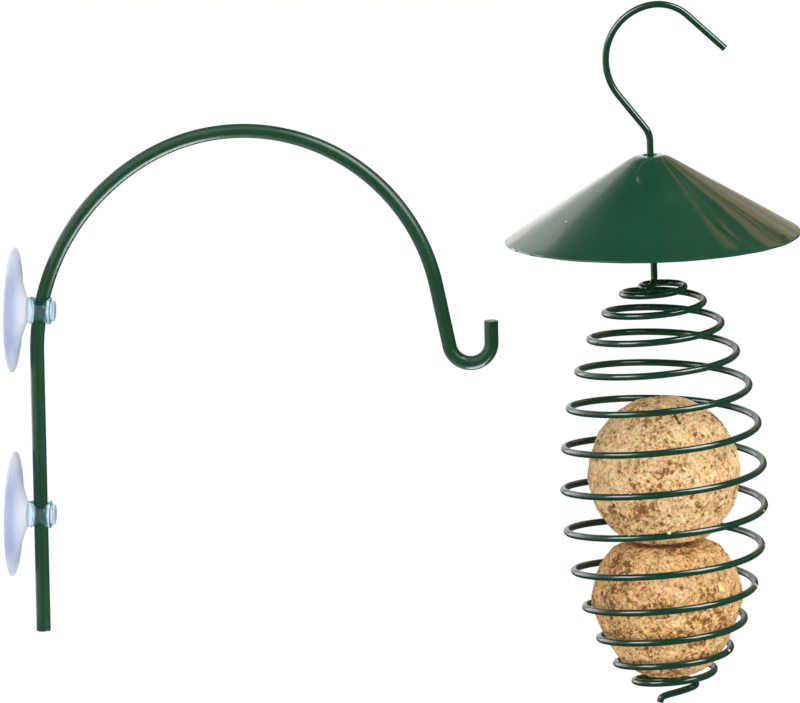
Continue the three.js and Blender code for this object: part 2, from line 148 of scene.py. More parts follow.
class WireSettings(bpy.types.PropertyGroup):
    """Sizes and colour of the feeder's wire."""

    diameter: length("Diameter of the wire with its coat", 3)
    hook_rise: length("Straight length above the roof", 7.2)
    sway_radius: length("Radius of the first bend above the roof", 9.5)
    sway_turn: angle("Turn of the first bend above the roof", 38)
    hook_shaft: length("Straight length up to the crown of the hook", 17.8)
    crown_radius: length("Radius of the main bend of the hook", 24.8)
    crown_turn: angle("Turn of the main bend of the hook", 117)
    nose_radius: length("Radius of the last bend of the hook", 18.7)
    nose_turn: angle("Turn of the last bend of the hook", 54)
    hook_tip: length("Straight end of the hook", 21.8)
    end_round: length("Rounding of the coat at the ends", 0.25)
    stem: length("Stem from the roof seat down to its bend", 52.8)
    stem_bend: length("Reach of the bend from stem to spiral", 3.9)
    spiral_radius: length("Radius of the widest turn, at the middle of the wire", 43.7)
    spiral_half_height: length("Half height of the egg that the turns lie on", 91.3)
    first_polar: angle("Where the first turn starts on the egg", 8.4)
    level_polar: angle("Down to here the first curl stays level", 15)
    last_above_pole: angle("Where the last turn ends, from the egg's lower pole", 14.8)
    turns: FloatProperty(name="Turns of the spiral", default=13.57)
    start_angle: angle("Where the first turn starts round the stem", 215)
    off_stem: length("Spiral's middle beside the stem", 1.5)
    below_stem: length("First turn below the end of the stem", 4.4)
    tail_inward: length("Way of the tail towards the middle", 15)
    tail_onward: length("Way of the tail along the last turn", 3.4)
    tail_bend: length("Reach of the bend from spiral to tail", 6)
    tail_drop: length("Way of the tail downwards", 3.8)
    tail_tip: length("Length of the turned-down tip", 2.6)
    tail_lean: length("Lean of the turned-down tip", 0.75)
    crimp_width: length("Width of the wire where it is pressed flat", 5.2)
    crimp_top: length("Upper end of the crimp below the roof seat", 1.6)
    crimp_length: length("Length of the crimp", 4.5)
    coat: colour("Dark green coat of the wire", 0.004, 0.034, 0.017)
    sides: count("Facets round the wire", 18)
    steps: count("Steps of a turn of the spiral", 90)


class RoofSettings(bpy.types.PropertyGroup):
    """Sizes and colour of the roof and its washer."""

    diameter: length("Diameter of the rim of the roof", 128.6)
    height: length("Height from the crown to the rim", 35.6)
    sheet: length("Thickness of the sheet", 0.8)
    hole: length("Diameter of the hole in the crown", 6.1)
    crown: length("Diameter of the flat top", 13.2)
    crown_round: length("Rounding from the flat top into the slope", 2.6)
    dent: length("Depth of the shallow dents in the sheet", 0.22)
    coat: colour("Green paint of the roof", 0.008, 0.056, 0.029)
    segments: count("Facets round the roof", 240)
    washer: length("Outer diameter of the washer", 11)
    washer_bore: length("Diameter of the hole of the washer", 3.7)
    washer_thickness: length("Thickness of the washer", 1)
    seat_gap: length("Room between washer and roof", 0.3)
    zinc: colour("Zinc of the plated washer", 0.60, 0.61, 0.62)


class BallSettings(bpy.types.PropertyGroup):
    """Grain and colours of the fat balls."""

    lump: length("Height of the small lumps", 0.25)
    grain: length("Width of the coarse grains", 3.0)
    grain_depth: length("Depth of the gaps between coarse grains", 0.3)
    fine_grain: length("Width of the fine grains", 1.5)
    fine_depth: length("Depth of the gaps between fine grains", 0.18)
    pit_depth: length("Depth of the pits where meal has crumbled away", 0.55)
    chips: count("Seeds and flakes pressed into a ball", 900)
    fat: colour("Pressed fat and meal", 0.78, 0.485, 0.215)
    pale: colour("Oat flakes and pale grain", 0.98, 0.70, 0.40)
    husk: colour("Brown husks and shaded gaps", 0.28, 0.12, 0.035)
    corn: colour("Yellow corn", 0.98, 0.78, 0.34)
    dark: colour("Dark seeds", 0.06, 0.035, 0.02)
    lower_tint: colour("Browner meal of the lower ball", 0.98, 0.91, 0.82)
    seed: count("Start of the random draws", 7)


class StageSettings(bpy.types.PropertyGroup):
    """Camera, light and floor."""

    azimuth: angle("Turn of the view", 7.6)
    elevation: angle("Angle of the view over level", 10.5)
    frame_width: length("Width that the picture takes in", 348)
    distance: length("From the camera to the middle of the picture", 10000)
    aim_x: length("Middle of the picture along X", 170.4)
    aim_z: length("Middle of the picture along Z", 30.9)
    floor_height: length("Height of the floor", -520)
    floor_size: length("Half width of the floor", 40000)
    sky: share("Even light from all round", 0.9)
    key: FloatProperty(name="Strength of the soft lamp in front", default=1.95)
    key_angle: angle("Width of the soft lamp in front", 45)
    panel: FloatProperty(name="Strength of the panels that draw highlights", default=1)
    floor_white: share("Share of plain white that the camera sees on the floor", 0.9)


class FeederSettings(bpy.types.PropertyGroup):
    """All settings of the feeder and its bracket."""

    rod: PointerProperty(type=RodSettings)
    cup: PointerProperty(type=CupSettings)
    wire: PointerProperty(type=WireSettings)
    roof: PointerProperty(type=RoofSettings)
    ball: PointerProperty(type=BallSettings)
    stage: PointerProperty(type=StageSettings)


# Mesh helpers


def make_piece(name, points, faces, materials, indices=None, sharp=35):
    """A smooth-shaded mesh object with sharp edges over an angle in degrees."""
    mesh = bpy.data.meshes.new(name)
    mesh.from_pydata([tuple(map(float, p)) for p in points], [], faces)
    for material in materials:
        mesh.materials.append(material)
    if indices is not None:
        mesh.polygons.foreach_set("material_index", np.asarray(indices, np.int32))
    mesh.polygons.foreach_set("use_smooth", np.ones(len(mesh.polygons), bool))
    mesh.set_sharp_from_angle(angle=math.radians(sharp))
    mesh.validate()
    mesh.update()
    piece = bpy.data.objects.new(name, mesh)
    bpy.context.scene.collection.objects.link(piece)
    return piece


def bent_path(heading, runs, bend_step, run_step):
    """Rows of x and z along straight runs (turn 0) and bends, each given as a size and a turn."""
    at = np.zeros(2)
    rows = [at]
    for size, turn in runs:
        if turn == 0:
            ahead = np.array((math.cos(heading), math.sin(heading)))
            parts = max(1, math.ceil(size / run_step))
            rows += [at + ahead * size * i / parts for i in range(1, parts + 1)]
        else:
            side = math.copysign(1, turn)
            centre = at + side * size * np.array((-math.sin(heading), math.cos(heading)))
            start = heading - side * math.pi / 2
            parts = max(2, math.ceil(abs(turn) / bend_step))
            turns = start + turn * np.arange(1, parts + 1) / parts
            rows += list(centre + size * np.stack([np.cos(turns), np.sin(turns)], 1))
            heading += turn
        at = rows[-1]
    return np.array(rows)


def bezier(*controls, steps):
    """Points of a Bezier curve through its controls' hull, both ends included."""
    t = np.linspace(0, 1, steps + 1)[:, None]
    level = [np.asarray(c, float) for c in controls]
    while len(level) > 1:
        level = [a + (b - a) * t for a, b in zip(level, level[1:])]
    return level[0]


# Ring radius and setback of a cut end, from the bare core out to the full coat
CORE_SETBACK = 0.1
CORE_RINGS = [(0.55, CORE_SETBACK), (0.80, 0.12)]
COAT_RINGS = [(0.82, 0.0), (0.88, 0.0), (0.95, 0.15), (0.987, 0.5), (1.0, 1.0)]


def sweep_bar(points, half_width, half_depth, sides, end_round):
    """A closed bar along points, with a rounded coat at both cut ends, and which faces are its cut core."""
    points = np.asarray(points, float)
    last = len(points) - 1
    along = np.gradient(points, axis=0)
    along /= np.linalg.norm(along, axis=1)[:, None]
    side = np.array((0.0, 1.0, 0.0))
    turn = 2 * math.pi * np.arange(sides) / sides
    cos, sin = np.cos(turn)[:, None], np.sin(turn)[:, None]
    sides_at = []
    for row in along:
        side = side - row * side.dot(row)
        side /= np.linalg.norm(side)
        sides_at.append(side)

    def ring(i, radius, setback):
        forward = along[i] if i < last / 2 else -along[i]
        across = np.cross(sides_at[i], along[i])
        middle = points[i] + forward * setback
        return middle + radius * (across * cos * half_width[i] + sides_at[i] * sin * half_depth[i])

    ends = [(r, s * end_round) for r, s in CORE_RINGS + COAT_RINGS]
    rings = [ring(0, r, s) for r, s in ends]
    rings += [ring(i, 1, 0) for i in range(1, last)]
    rings += [ring(last, r, s) for r, s in reversed(ends)]
    total = len(rings)
    setback = end_round * CORE_SETBACK
    caps = np.array([points[0] + along[0] * setback, points[last] - along[last] * setback])
    corners = np.vstack([*rings, caps])
    faces, indices = [], []
    core = len(CORE_RINGS)
    for i in range(total - 1):
        bare = i < core or i >= total - 1 - core
        for s in range(sides):
            n = (s + 1) % sides
            faces.append((i * sides + s, i * sides + n, (i + 1) * sides + n, (i + 1) * sides + s))
            indices.append(int(bare))
    first, final = total * sides, total * sides + 1
    for s in range(sides):
        n = (s + 1) % sides
        faces.append((first, n, s))
        faces.append((final, (total - 1) * sides + s, (total - 1) * sides + n))
        indices += [1, 1]
    return corners, faces, indices


def rounded(corners, steps=4):
    """Rows of an outline whose corners, given as x, y and a round, are eased by that round."""
    rows = []
    last = len(corners) - 1
    for i, (x, y, ease) in enumerate(corners):
        here = np.array((x, y))
        if ease == 0 or i in (0, last):
            rows.append(here)
            continue
        before = np.array(corners[i - 1][:2]) - here
        after = np.array(corners[i + 1][:2]) - here
        room = min(ease, 0.5 * np.linalg.norm(before), 0.5 * np.linalg.norm(after))
        start = here + before / np.linalg.norm(before) * room
        end = here + after / np.linalg.norm(after) * room
        rows += list(bezier(start, here, end, steps=steps))
    return np.array(rows)


# Radii below this, in metres, are a point on the axis
ON_AXIS = 1e-9


def lathe(outline, segments, closed=False):
    """Points and faces of an outline of radius and height turned about the z axis."""
    points, rings, faces = [], [], []
    turn = 2 * math.pi * np.arange(segments) / segments
    for radius, height in outline:
        start = len(points)
        if radius < ON_AXIS:
            points.append((0, 0, height))
            rings.append([start] * segments)
        else:
            points += [(radius * math.cos(t), radius * math.sin(t), height) for t in turn]
            rings.append(list(range(start, start + segments)))
    pairs = list(zip(rings, rings[1:]))
    if closed:
        pairs.append((rings[-1], rings[0]))
    for low, high in pairs:
        for s in range(segments):
            n = (s + 1) % segments
            face = [low[s], low[n], high[n], high[s]]
            kept = [v for i, v in enumerate(face) if v not in face[:i]]
            if len(kept) > 2:
                faces.append(tuple(kept))
    return np.array(points, float), faces


def on_feeder(points):
    """Points of the feeder, given from its roof seat along its stem, in the frame of the part."""
    points = np.asarray(points, float)
    across = np.array((STEM_AXIS[2], 0, -STEM_AXIS[0]))
    return STEM_SEAT + points[:, :1] * across + points[:, 1:2] * np.array((0, 1, 0)) + points[:, 2:] * STEM_AXIS


# Shader helpers


def feed(tree, socket, value):
    """Links a socket to another one, or gives it a plain value."""
    if isinstance(value, bpy.types.NodeSocket):
        tree.links.new(value, socket)
    else:
        socket.default_value = value


def put(tree, kind, inputs=None, **settings):
    """A node with its settings, its values and its links from other sockets."""
    made = tree.nodes.new(kind)
    for name, value in settings.items():
        setattr(made, name, value)
    for name, value in (inputs or {}).items():
        feed(tree, made.inputs[name], value)
    return made


def rgba(values):
    """A colour with full alpha."""
    return (*values, 1.0)


def mix(tree, factor, one, two, kind="MIX"):
    """A colour mix of two colours or sockets."""
    inputs = {0: factor, 6: one, 7: two}
    return put(tree, "ShaderNodeMix", inputs, data_type="RGBA", blend_type=kind).outputs[2]


def blend(tree, factor, one, two):
    """A mix of two shader nodes."""
    return put(tree, "ShaderNodeMixShader", {0: factor, 1: one.outputs[0], 2: two.outputs[0]})


def remap(tree, value, from_low, from_high, to_low=0.0, to_high=1.0, kind="LINEAR"):
    """A value moved from one range into another and kept inside it."""
    inputs = {"Value": value, "From Min": from_low, "From Max": from_high, "To Min": to_low, "To Max": to_high}
    return put(tree, "ShaderNodeMapRange", inputs, interpolation_type=kind, clamp=True).outputs["Result"]


def fade(tree, value, low, high, start=0.0, end=1.0):
    """A value that goes smoothly from start to end between low and high."""
    return remap(tree, value, low, high, start, end, "SMOOTHSTEP")


def math_of(tree, operation, *values):
    """The result of one sum or product."""
    return put(tree, "ShaderNodeMath", dict(enumerate(values)), operation=operation).outputs[0]


def grain(tree, place, scale, detail, **more):
    """Outputs of a noise texture."""
    return put(tree, "ShaderNodeTexNoise", {"Vector": place, "Scale": scale, "Detail": detail, **more}).outputs


def cells(tree, place, scale):
    """Distance from the middle of the nearest of scattered cells, and that cell's three random draws."""
    made = put(tree, "ShaderNodeTexVoronoi", {"Vector": place, "Scale": scale}).outputs
    return made["Distance"], put(tree, "ShaderNodeSeparateColor", {"Color": made["Color"]}).outputs


def fill_coat(tree, inside):
    """Gloss coat on steel: faint mottling of the colour, uneven gloss and a fine orange-peel height."""
    base = inside["Colour"]
    broad = grain(tree, inside["Vector"], 55.0, 3.0)["Fac"]
    peel = grain(tree, inside["Vector"], inside["Peel Scale"], 2.0)["Fac"]
    light = mix(tree, 1.0, base, (1.5, 1.35, 1.45, 1), "MULTIPLY")
    spread = math_of(tree, "MULTIPLY", remap(tree, broad, 0.35, 0.75), inside["Mottle"])
    uneven = math_of(tree, "MULTIPLY_ADD", peel, 0.4, broad)
    gloss = remap(tree, uneven, 0.45, 0.95, inside["Gloss Low"], inside["Gloss High"])
    return {"Colour": mix(tree, spread, base, light), "Roughness": gloss, "Height": peel}


def fill_dust(tree, inside):
    """Sparse pale specks of dust and meal that lie on a coat."""
    distance, draw = cells(tree, inside["Vector"], inside["Scale"])
    wobble = grain(tree, inside["Vector"], 2600.0, 1.0)["Fac"]
    edge = math_of(tree, "MULTIPLY_ADD", wobble, 0.08, distance)
    near = math_of(tree, "LESS_THAN", edge, inside["Size"])
    chosen = math_of(tree, "LESS_THAN", draw["Red"], inside["Amount"])
    mask = math_of(tree, "MULTIPLY", near, chosen)
    return {"Colour": mix(tree, mask, inside["Colour"], inside["Dust Colour"]), "Mask": mask}


# Lightness of the meal where every part of it lies at its middle
MEAL_LIGHT = 0.70
# How far the noise bends the outlines of crumbs and flakes, in metres
CRUMB_BEND = 0.0016
# How much of the clumps' own hues the meal takes on
HUE_SHARE = 0.24
# Tones above which a grain takes the colour of a husk, of corn or of a dark seed, and how much of it
SEED_COLOURS = [(0.72, 0.45, "Husk"), (0.82, 0.85, "Corn"), (0.93, 0.95, "Dark")]


def fill_meal(tree, inside):
    """Pressed meal: grains from husk brown through fat to pale flake, and seeds with their own colours, darkened by
    painted shade in seams, pits, hollows and the mesh's gaps.
    """
    place, tone = inside["Vector"], inside["Tone"]
    meal = grain(tree, place, 900.0, 4.0, Roughness=0.7)
    clumps = grain(tree, place, 240.0, 3.0, Roughness=0.6)
    patches = grain(tree, place, 70.0, 2.0)["Fac"]
    holes = grain(tree, place, 330.0, 4.0, Roughness=0.65)["Fac"]
    stirred = mix(tree, 1.0, meal["Color"], rgba([CRUMB_BEND] * 3), "MULTIPLY")
    bent = mix(tree, 1.0, place, stirred, "ADD")
    crumb_distance, crumb = cells(tree, bent, 640.0)
    seam = remap(tree, crumb_distance, 0.3, 0.75)
    flake_distance, drawn = cells(tree, bent, 260.0)
    flake = remap(tree, drawn["Red"], 0.6, 0.9)
    pitted = remap(tree, drawn["Green"], 0.5, 0.6)
    pit = math_of(tree, "MULTIPLY", pitted, remap(tree, flake_distance, 0.1, 0.34, 1.0, 0.0))
    # Hollows: patches that are painted in shade and sunk in the height
    hollow = remap(tree, math_of(tree, "MULTIPLY_ADD", patches, -0.6, holes), 0.25, 0.40)
    light = MEAL_LIGHT
    # The lightness adds the meal's own tones and takes away painted shade in seams, pits, the mesh's gaps and
    # hollows
    for value, middle, weight in (
        (meal["Fac"], 0.5, 2.7),
        (clumps["Fac"], 0.5, 1.3),
        (patches, 0.5, 0.4),
        (crumb["Red"], 0.5, 0.4),
        (tone, 0.35, 0.4),
        (flake, 0.25, 0.3),
        (seam, 0.3, -0.2),
        (pit, 0.1, -0.9),
        (inside["Gap"], 0.2, -0.7),
        (hollow, 0.0, -0.62),
    ):
        light = math_of(tree, "MULTIPLY_ADD", math_of(tree, "SUBTRACT", value, middle), weight, light)
    base = mix(tree, remap(tree, light, 0.0, 0.5), inside["Husk"], inside["Fat"])
    base = mix(tree, remap(tree, light, 0.5, 1.1), base, inside["Pale"])
    base = mix(tree, remap(tree, crumb["Green"], 0.90, 0.97, 0.0, 0.3), base, inside["Corn"])
    base = mix(tree, remap(tree, crumb["Blue"], 0.84, 0.97, 0.0, 0.4), base, inside["Husk"])
    hue = mix(tree, 1.0, clumps["Color"], (2, 2, 2, 1), "MULTIPLY")
    base = mix(tree, HUE_SHARE, base, mix(tree, 1.0, base, hue, "MULTIPLY"))
    for limit, amount, name in SEED_COLOURS:
        chosen = math_of(tree, "MULTIPLY", math_of(tree, "GREATER_THAN", tone, limit), amount)
        base = mix(tree, chosen, base, inside[name])
    height = meal["Fac"]
    for value, weight in ((seam, -0.6), (hollow, -0.5), (pit, -0.8)):
        height = math_of(tree, "MULTIPLY_ADD", value, weight, height)
    rough = remap(tree, meal["Fac"], 0.3, 0.7, 0.72, 0.95)
    return {"Colour": base, "Roughness": rough, "Height": height}


# Shared node groups: what fills each, and its inputs and outputs by kind
GROUPS = {
    "coat grain": (
        fill_coat,
        {"Vector": ["Vector"], "Color": ["Colour"], "Float": ["Mottle", "Gloss Low", "Gloss High", "Peel Scale"]},
        {"Color": ["Colour"], "Float": ["Roughness", "Height"]},
    ),
    "dust specks": (
        fill_dust,
        {"Vector": ["Vector"], "Color": ["Colour", "Dust Colour"], "Float": ["Scale", "Amount", "Size"]},
        {"Color": ["Colour"], "Float": ["Mask"]},
    ),
    "pressed meal": (
        fill_meal,
        {"Vector": ["Vector"], "Float": ["Tone", "Gap"], "Color": ["Fat", "Pale", "Husk", "Corn", "Dark"]},
        {"Color": ["Colour"], "Float": ["Roughness", "Height"]},
    ),
}


def make_group(name):
    """A new shader node group with its sockets and its nodes."""
    fill, inputs, outputs = GROUPS[name]
    tree = bpy.data.node_groups.new(name, "ShaderNodeTree")
    for side, sockets in (("INPUT", inputs), ("OUTPUT", outputs)):
        for kind, labels in sockets.items():
            for label in labels:
                tree.interface.new_socket(label, in_out=side, socket_type="NodeSocket" + kind)
    results = fill(tree, tree.nodes.new("NodeGroupInput").outputs)
    out = tree.nodes.new("NodeGroupOutput").inputs
    for label, value in results.items():
        tree.links.new(value, out[label])
    return tree


def use_group(tree, name, inputs):
    """Outputs of a shared node group placed in a material."""
    group = bpy.data.node_groups.get(name) or make_group(name)
    return put(tree, "ShaderNodeGroup", inputs, node_tree=group).outputs


def new_material(name):
    """A named material, its nodes and the object's own coordinates."""
    material = bpy.data.materials.new(name)
    material.use_nodes = True
    tree = material.node_tree
    return material, tree, put(tree, "ShaderNodeTexCoord").outputs["Object"]


def dress(tree, colour, rough, relief, plain):
    """Gives a material's shader its colour, roughness, relief (height, strength, depth) and plain values."""
    bump = put(tree, "ShaderNodeBump", dict(zip(("Height", "Strength", "Distance"), relief)))
    inputs = {"Base Color": colour, "Roughness": rough, "Normal": bump.outputs["Normal"], **plain}
    for name, value in inputs.items():
        feed(tree, tree.nodes["Principled BSDF"].inputs[name], value)


# Looks of the coats: mottling, least and most roughness, fineness and depth of the orange peel,
# fineness, amount and size of the dust, and shine
ROD_LOOK = (0.3, (0.2, 0.3), (160.0, 0.00001), (260.0, 0.01, 0.09), 0.22)
WIRE_LOOK = (0.3, (0.13, 0.21), (300.0, 0.00001), (420.0, 0.03, 0.11), 0.5)
ROOF_LOOK = (0.45, (0.05, 0.14), (120.0, 0.00012), (150.0, 0.035, 0.11), 0.85)
DUST = (0.72, 0.66, 0.55)
DUST_ROUGHNESS = 0.9


def coat_material(name, base, look):
    """A dark gloss coat with orange peel and a little dust."""
    mottle, gloss, (peel_scale, peel_depth), (dust_scale, dust_amount, dust_size), shine = look
    material, tree, place = new_material(name)
    coat = use_group(
        tree,
        "coat grain",
        {
            "Vector": place,
            "Colour": rgba(base),
            "Mottle": mottle,
            "Gloss Low": gloss[0],
            "Gloss High": gloss[1],
            "Peel Scale": peel_scale,
        },
    )
    specks = use_group(
        tree,
        "dust specks",
        {
            "Vector": place,
            "Colour": coat["Colour"],
            "Dust Colour": rgba(DUST),
            "Scale": dust_scale,
            "Amount": dust_amount,
            "Size": dust_size,
        },
    )
    rough = mix(tree, specks["Mask"], coat["Roughness"], rgba([DUST_ROUGHNESS] * 3))
    dress(tree, specks["Colour"], rough, (coat["Height"], 0.3, peel_depth), {"Specular IOR Level": shine})
    return material


def steel_material(name, base, rough_low, rough_high):
    """Bare or plated steel with fine scratches and duller patches."""
    material, tree, place = new_material(name)
    fine = grain(tree, place, 1400.0, 3.0)["Fac"]
    dull = remap(tree, grain(tree, place, 300.0, 2.0)["Fac"], 0.4, 0.7, 0.0, 0.6)
    tone = mix(tree, dull, rgba(base), rgba([c * 0.55 for c in base]))
    rough = remap(tree, fine, 0.3, 0.7, rough_low, rough_high)
    dress(tree, tone, rough, (fine, 0.3, 0.00005), {"Metallic": 1.0})
    return material


# How strongly the soft plastic bends light: little, because its walls are thin
CUP_IOR = 1.25


def clear_material(name, tint, painted_see_through_tint, haze_range, clearness):
    """Clear soft plastic with a tint painted where the mesh says so, for what is seen through the plastic, a haze
    and faint flow marks.
    """
    material, tree, place = new_material(name)
    haze = grain(tree, place, 120.0, 3.0)["Fac"]
    flow = grain(tree, place, 60.0, 1.0)["Fac"]
    deep = put(tree, "ShaderNodeAttribute", attribute_name="deep").outputs["Fac"]
    uneven = math_of(tree, "MULTIPLY", deep, remap(tree, haze, 0.3, 0.7, 0.8, 1.1))
    tone = mix(tree, uneven, rgba(tint), rgba(painted_see_through_tint))
    rough = remap(tree, haze, 0.35, 0.7, *haze_range)
    plain = {"IOR": CUP_IOR, "Transmission Weight": clearness}
    dress(tree, tone, rough, (flow, 0.2, 0.0005), plain)
    return material


def meal_material(name, ball, tint=(1, 1, 1)):
    """Pressed fat and seed meal, coloured grain by grain from the mesh's own tones and darkened by the painted
    shade the mesh keeps in its gaps.
    """
    material, tree, place = new_material(name)
    inputs = {"Vector": place, "Corn": rgba(ball.corn), "Dark": rgba(ball.dark)}
    for label in ("Tone", "Gap"):
        inputs[label] = put(tree, "ShaderNodeAttribute", attribute_name=label.lower()).outputs["Fac"]
    for label, base in (("Fat", ball.fat), ("Pale", ball.pale), ("Husk", ball.husk)):
        inputs[label] = rgba(np.multiply(base, tint))
    meal = use_group(tree, "pressed meal", inputs)
    dress(tree, meal["Colour"], meal["Roughness"], (meal["Height"], 1.0, 0.0006), {"Specular IOR Level": 0.1})
    return material


# Bracket


# Steps along bends and straight runs of the rod
ROD_BEND_STEP = math.radians(1.5)
ROD_RUN_STEP = 8 * MM


def rod_points(rod, cup):
    """The rod's middle line in the part's frame, and the distance between the cups."""
    flat = bent_path(
        math.pi / 2,
        [
            (rod.shank, 0),
            (rod.rise_radius, -rod.rise_turn),
            (rod.fall_radius, -rod.fall_turn),
            (rod.drop, 0),
            (rod.hook_radius, rod.rise_turn + rod.fall_turn),
            (rod.hook_tip, 0),
        ],
        ROD_BEND_STEP,
        ROD_RUN_STEP,
    )
    gone = np.concatenate([[0], np.cumsum(np.linalg.norm(np.diff(flat, axis=0), axis=1))])
    low, high = (
        np.array([np.interp(place, gone, flat[:, i]) for i in (0, 1)]) for place in (rod.lower_cup, rod.upper_cup)
    )
    lean = math.atan2(*(high - low))
    spacing = float(np.linalg.norm(high - low))
    x, z = (flat - low).T
    points = np.stack(
        [
            cup.rod_to_pane + x * math.cos(lean) - z * math.sin(lean),
            np.zeros(len(x)),
            x * math.sin(lean) + z * math.cos(lean) - spacing / 2,
        ],
        1,
    )
    return points, spacing


class FEEDER_OT_bracket_rod(bpy.types.Operator):
    """Builds the coated rod with its arch and small hook"""

    bl_idname = "feeder.bracket_rod"
    bl_label = "Bracket rod"

    def execute(self, context):
        settings = context.scene.feeder
        rod = settings.rod
        points, _ = rod_points(rod, settings.cup)
        half = np.full(len(points), rod.diameter / 2)
        corners, faces, _ = sweep_bar(points, half, half, rod.sides, rod.end_round)
        coat = coat_material("green rod coat", rod.coat, ROD_LOOK)
        piece = make_piece("bracket_rod_coated", corners, faces, [coat])
        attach(piece, "bracket")
        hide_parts("bracket_rod")
        return {"FINISHED"}


# How far the bell's outside and its hollow sag between rim and middle, as shares of their heights
BELL_SAG = 0.42
HOLLOW_SAG = 0.33
BELL_STEPS = 28
# Rounds of a cup's edges
FINE_ROUND = 0.3 * MM
LIP_ROUND = 0.35 * MM
NECK_ROUND = 0.4 * MM
KNOB_ROUND = 0.8 * MM
WAIST_ROUND = 2 * MM
GROOVE_ROUND = 0.2 * MM
# Cross hole: how far its cutter stands out of the knob, and its facets
HOLE_OVERRUN = 1 * MM
HOLE_SEGMENTS = 64
# Edges of a cup over this angle in degrees stay sharp
CUP_EDGE = 40
# Where the bell's painted deeper tint lies, as shares of its radius: from, over what width, and where it ends above
# and below
DEEP_FROM, DEEP_WIDTH = 0.35, 0.35
DEEP_END, DEEP_END_WIDTH = 0.95, 0.5
# Roughness and clearness of the two plastics
BELL_HAZE, BELL_CLEARNESS = (0.3, 0.45), 0.5
KNOB_HAZE, KNOB_CLEARNESS = (0.02, 0.08), 0.95


def knob_start(rod, cup):
    """Distance from the pane at which the bell ends and the neck begins."""
    return cup.rod_to_pane - rod.diameter / 2 - cup.fit - cup.face_wall - cup.neck_length


def cup_outline(rod, cup):
    """Half outline of a cup as radius and distance from the pane."""
    rim, neck, knob, disc = cup.diameter / 2, cup.neck / 2, cup.knob / 2, cup.disc / 2
    bell_top = knob_start(rod, cup)
    knob_face = bell_top + cup.neck_length
    knob_end = cup.rod_to_pane + rod.diameter / 2 + cup.end_wall
    hollow_top = bell_top - cup.crown_wall
    stalk = disc - cup.groove
    disc_face = knob_end + cup.groove
    disc_end = disc_face + cup.disc_thickness
    hollow = bezier((0, hollow_top), (rim / 2, hollow_top * HOLLOW_SAG), (rim - cup.lip, 0), steps=BELL_STEPS)
    lip_top = (rim, cup.lip_thickness)
    bell = bezier(lip_top, (rim / 2, bell_top * BELL_SAG), (neck, bell_top), steps=BELL_STEPS)
    edge = rounded([(*hollow[-1], 0), (rim, 0, FINE_ROUND), (*lip_top, LIP_ROUND), (*bell[2], 0)])
    top = rounded(
        [
            (*bell[-2], 0),
            (neck, bell_top, NECK_ROUND),
            (neck, knob_face, FINE_ROUND),
            (knob, knob_face, KNOB_ROUND),
            (knob - cup.knob_waist, (knob_face + knob_end) / 2, WAIST_ROUND),
            (knob, knob_end, KNOB_ROUND),
            (stalk, knob_end, GROOVE_ROUND),
            (stalk, disc_face, GROOVE_ROUND),
            (disc, disc_face, LIP_ROUND),
            (disc, disc_end, LIP_ROUND),
            (0, disc_end, 0),
        ]
    )
    return np.vstack([hollow[:-1], edge, bell[3:-2], top])


def cup_mesh(rod, cup, bell, knob):
    """The mesh of one cup with its cross hole, its axis along +X and its middle at z = 0."""
    points, faces = lathe(cup_outline(rod, cup), cup.segments)
    points = points[:, [2, 1, 0]] * np.array((1, 1, -1))
    body = make_piece("cup_body", points, faces, [bell, knob])
    reach = cup.knob / 2 + HOLE_OVERRUN
    waist = rod.diameter / 2 * math.hypot(1, cup.mouth / reach) + cup.fit
    mouth = waist + cup.mouth
    points, faces = lathe([(0, -reach), (mouth, -reach), (waist, 0), (mouth, reach), (0, reach)], HOLE_SEGMENTS)
    cutter = make_piece("cup_cutter", points + np.array((cup.rod_to_pane, 0, 0)), faces, [bell, knob])
    cut = body.modifiers.new("cross hole", "BOOLEAN")
    cut.object = cutter
    cut.operation = "DIFFERENCE"
    cut.solver = "EXACT"
    bpy.context.view_layer.update()
    mesh = bpy.data.meshes.new_from_object(body.evaluated_get(bpy.context.evaluated_depsgraph_get()))
    for helper in (body, cutter):
        bpy.data.objects.remove(helper)
    for face in mesh.polygons:
        face.material_index = int(face.center.x > knob_start(rod, cup))
    # Painted see-through tint: a deeper ring on the bell, fading towards its top and bottom, and the rod's green
    # round the knob's hole
    places = np.array([v.co for v in mesh.vertices])
    out = np.hypot(places[:, 1], places[:, 2]) / (cup.diameter / 2)
    level = np.abs(places[:, 2]) / (cup.diameter / 2)
    deep = np.clip((out - DEEP_FROM) / DEEP_WIDTH, 0, 1) * np.clip((DEEP_END - level) / DEEP_END_WIDTH, 0, 1)
    in_hole = np.hypot(places[:, 0] - cup.rod_to_pane, places[:, 1]) < mouth
    deep = np.where(in_hole & (places[:, 0] > knob_start(rod, cup)), 1.0, deep)
    mesh.attributes.new("deep", "FLOAT", "POINT").data.foreach_set("value", deep.astype(np.float32))
    mesh.set_sharp_from_angle(angle=math.radians(CUP_EDGE))
    return mesh


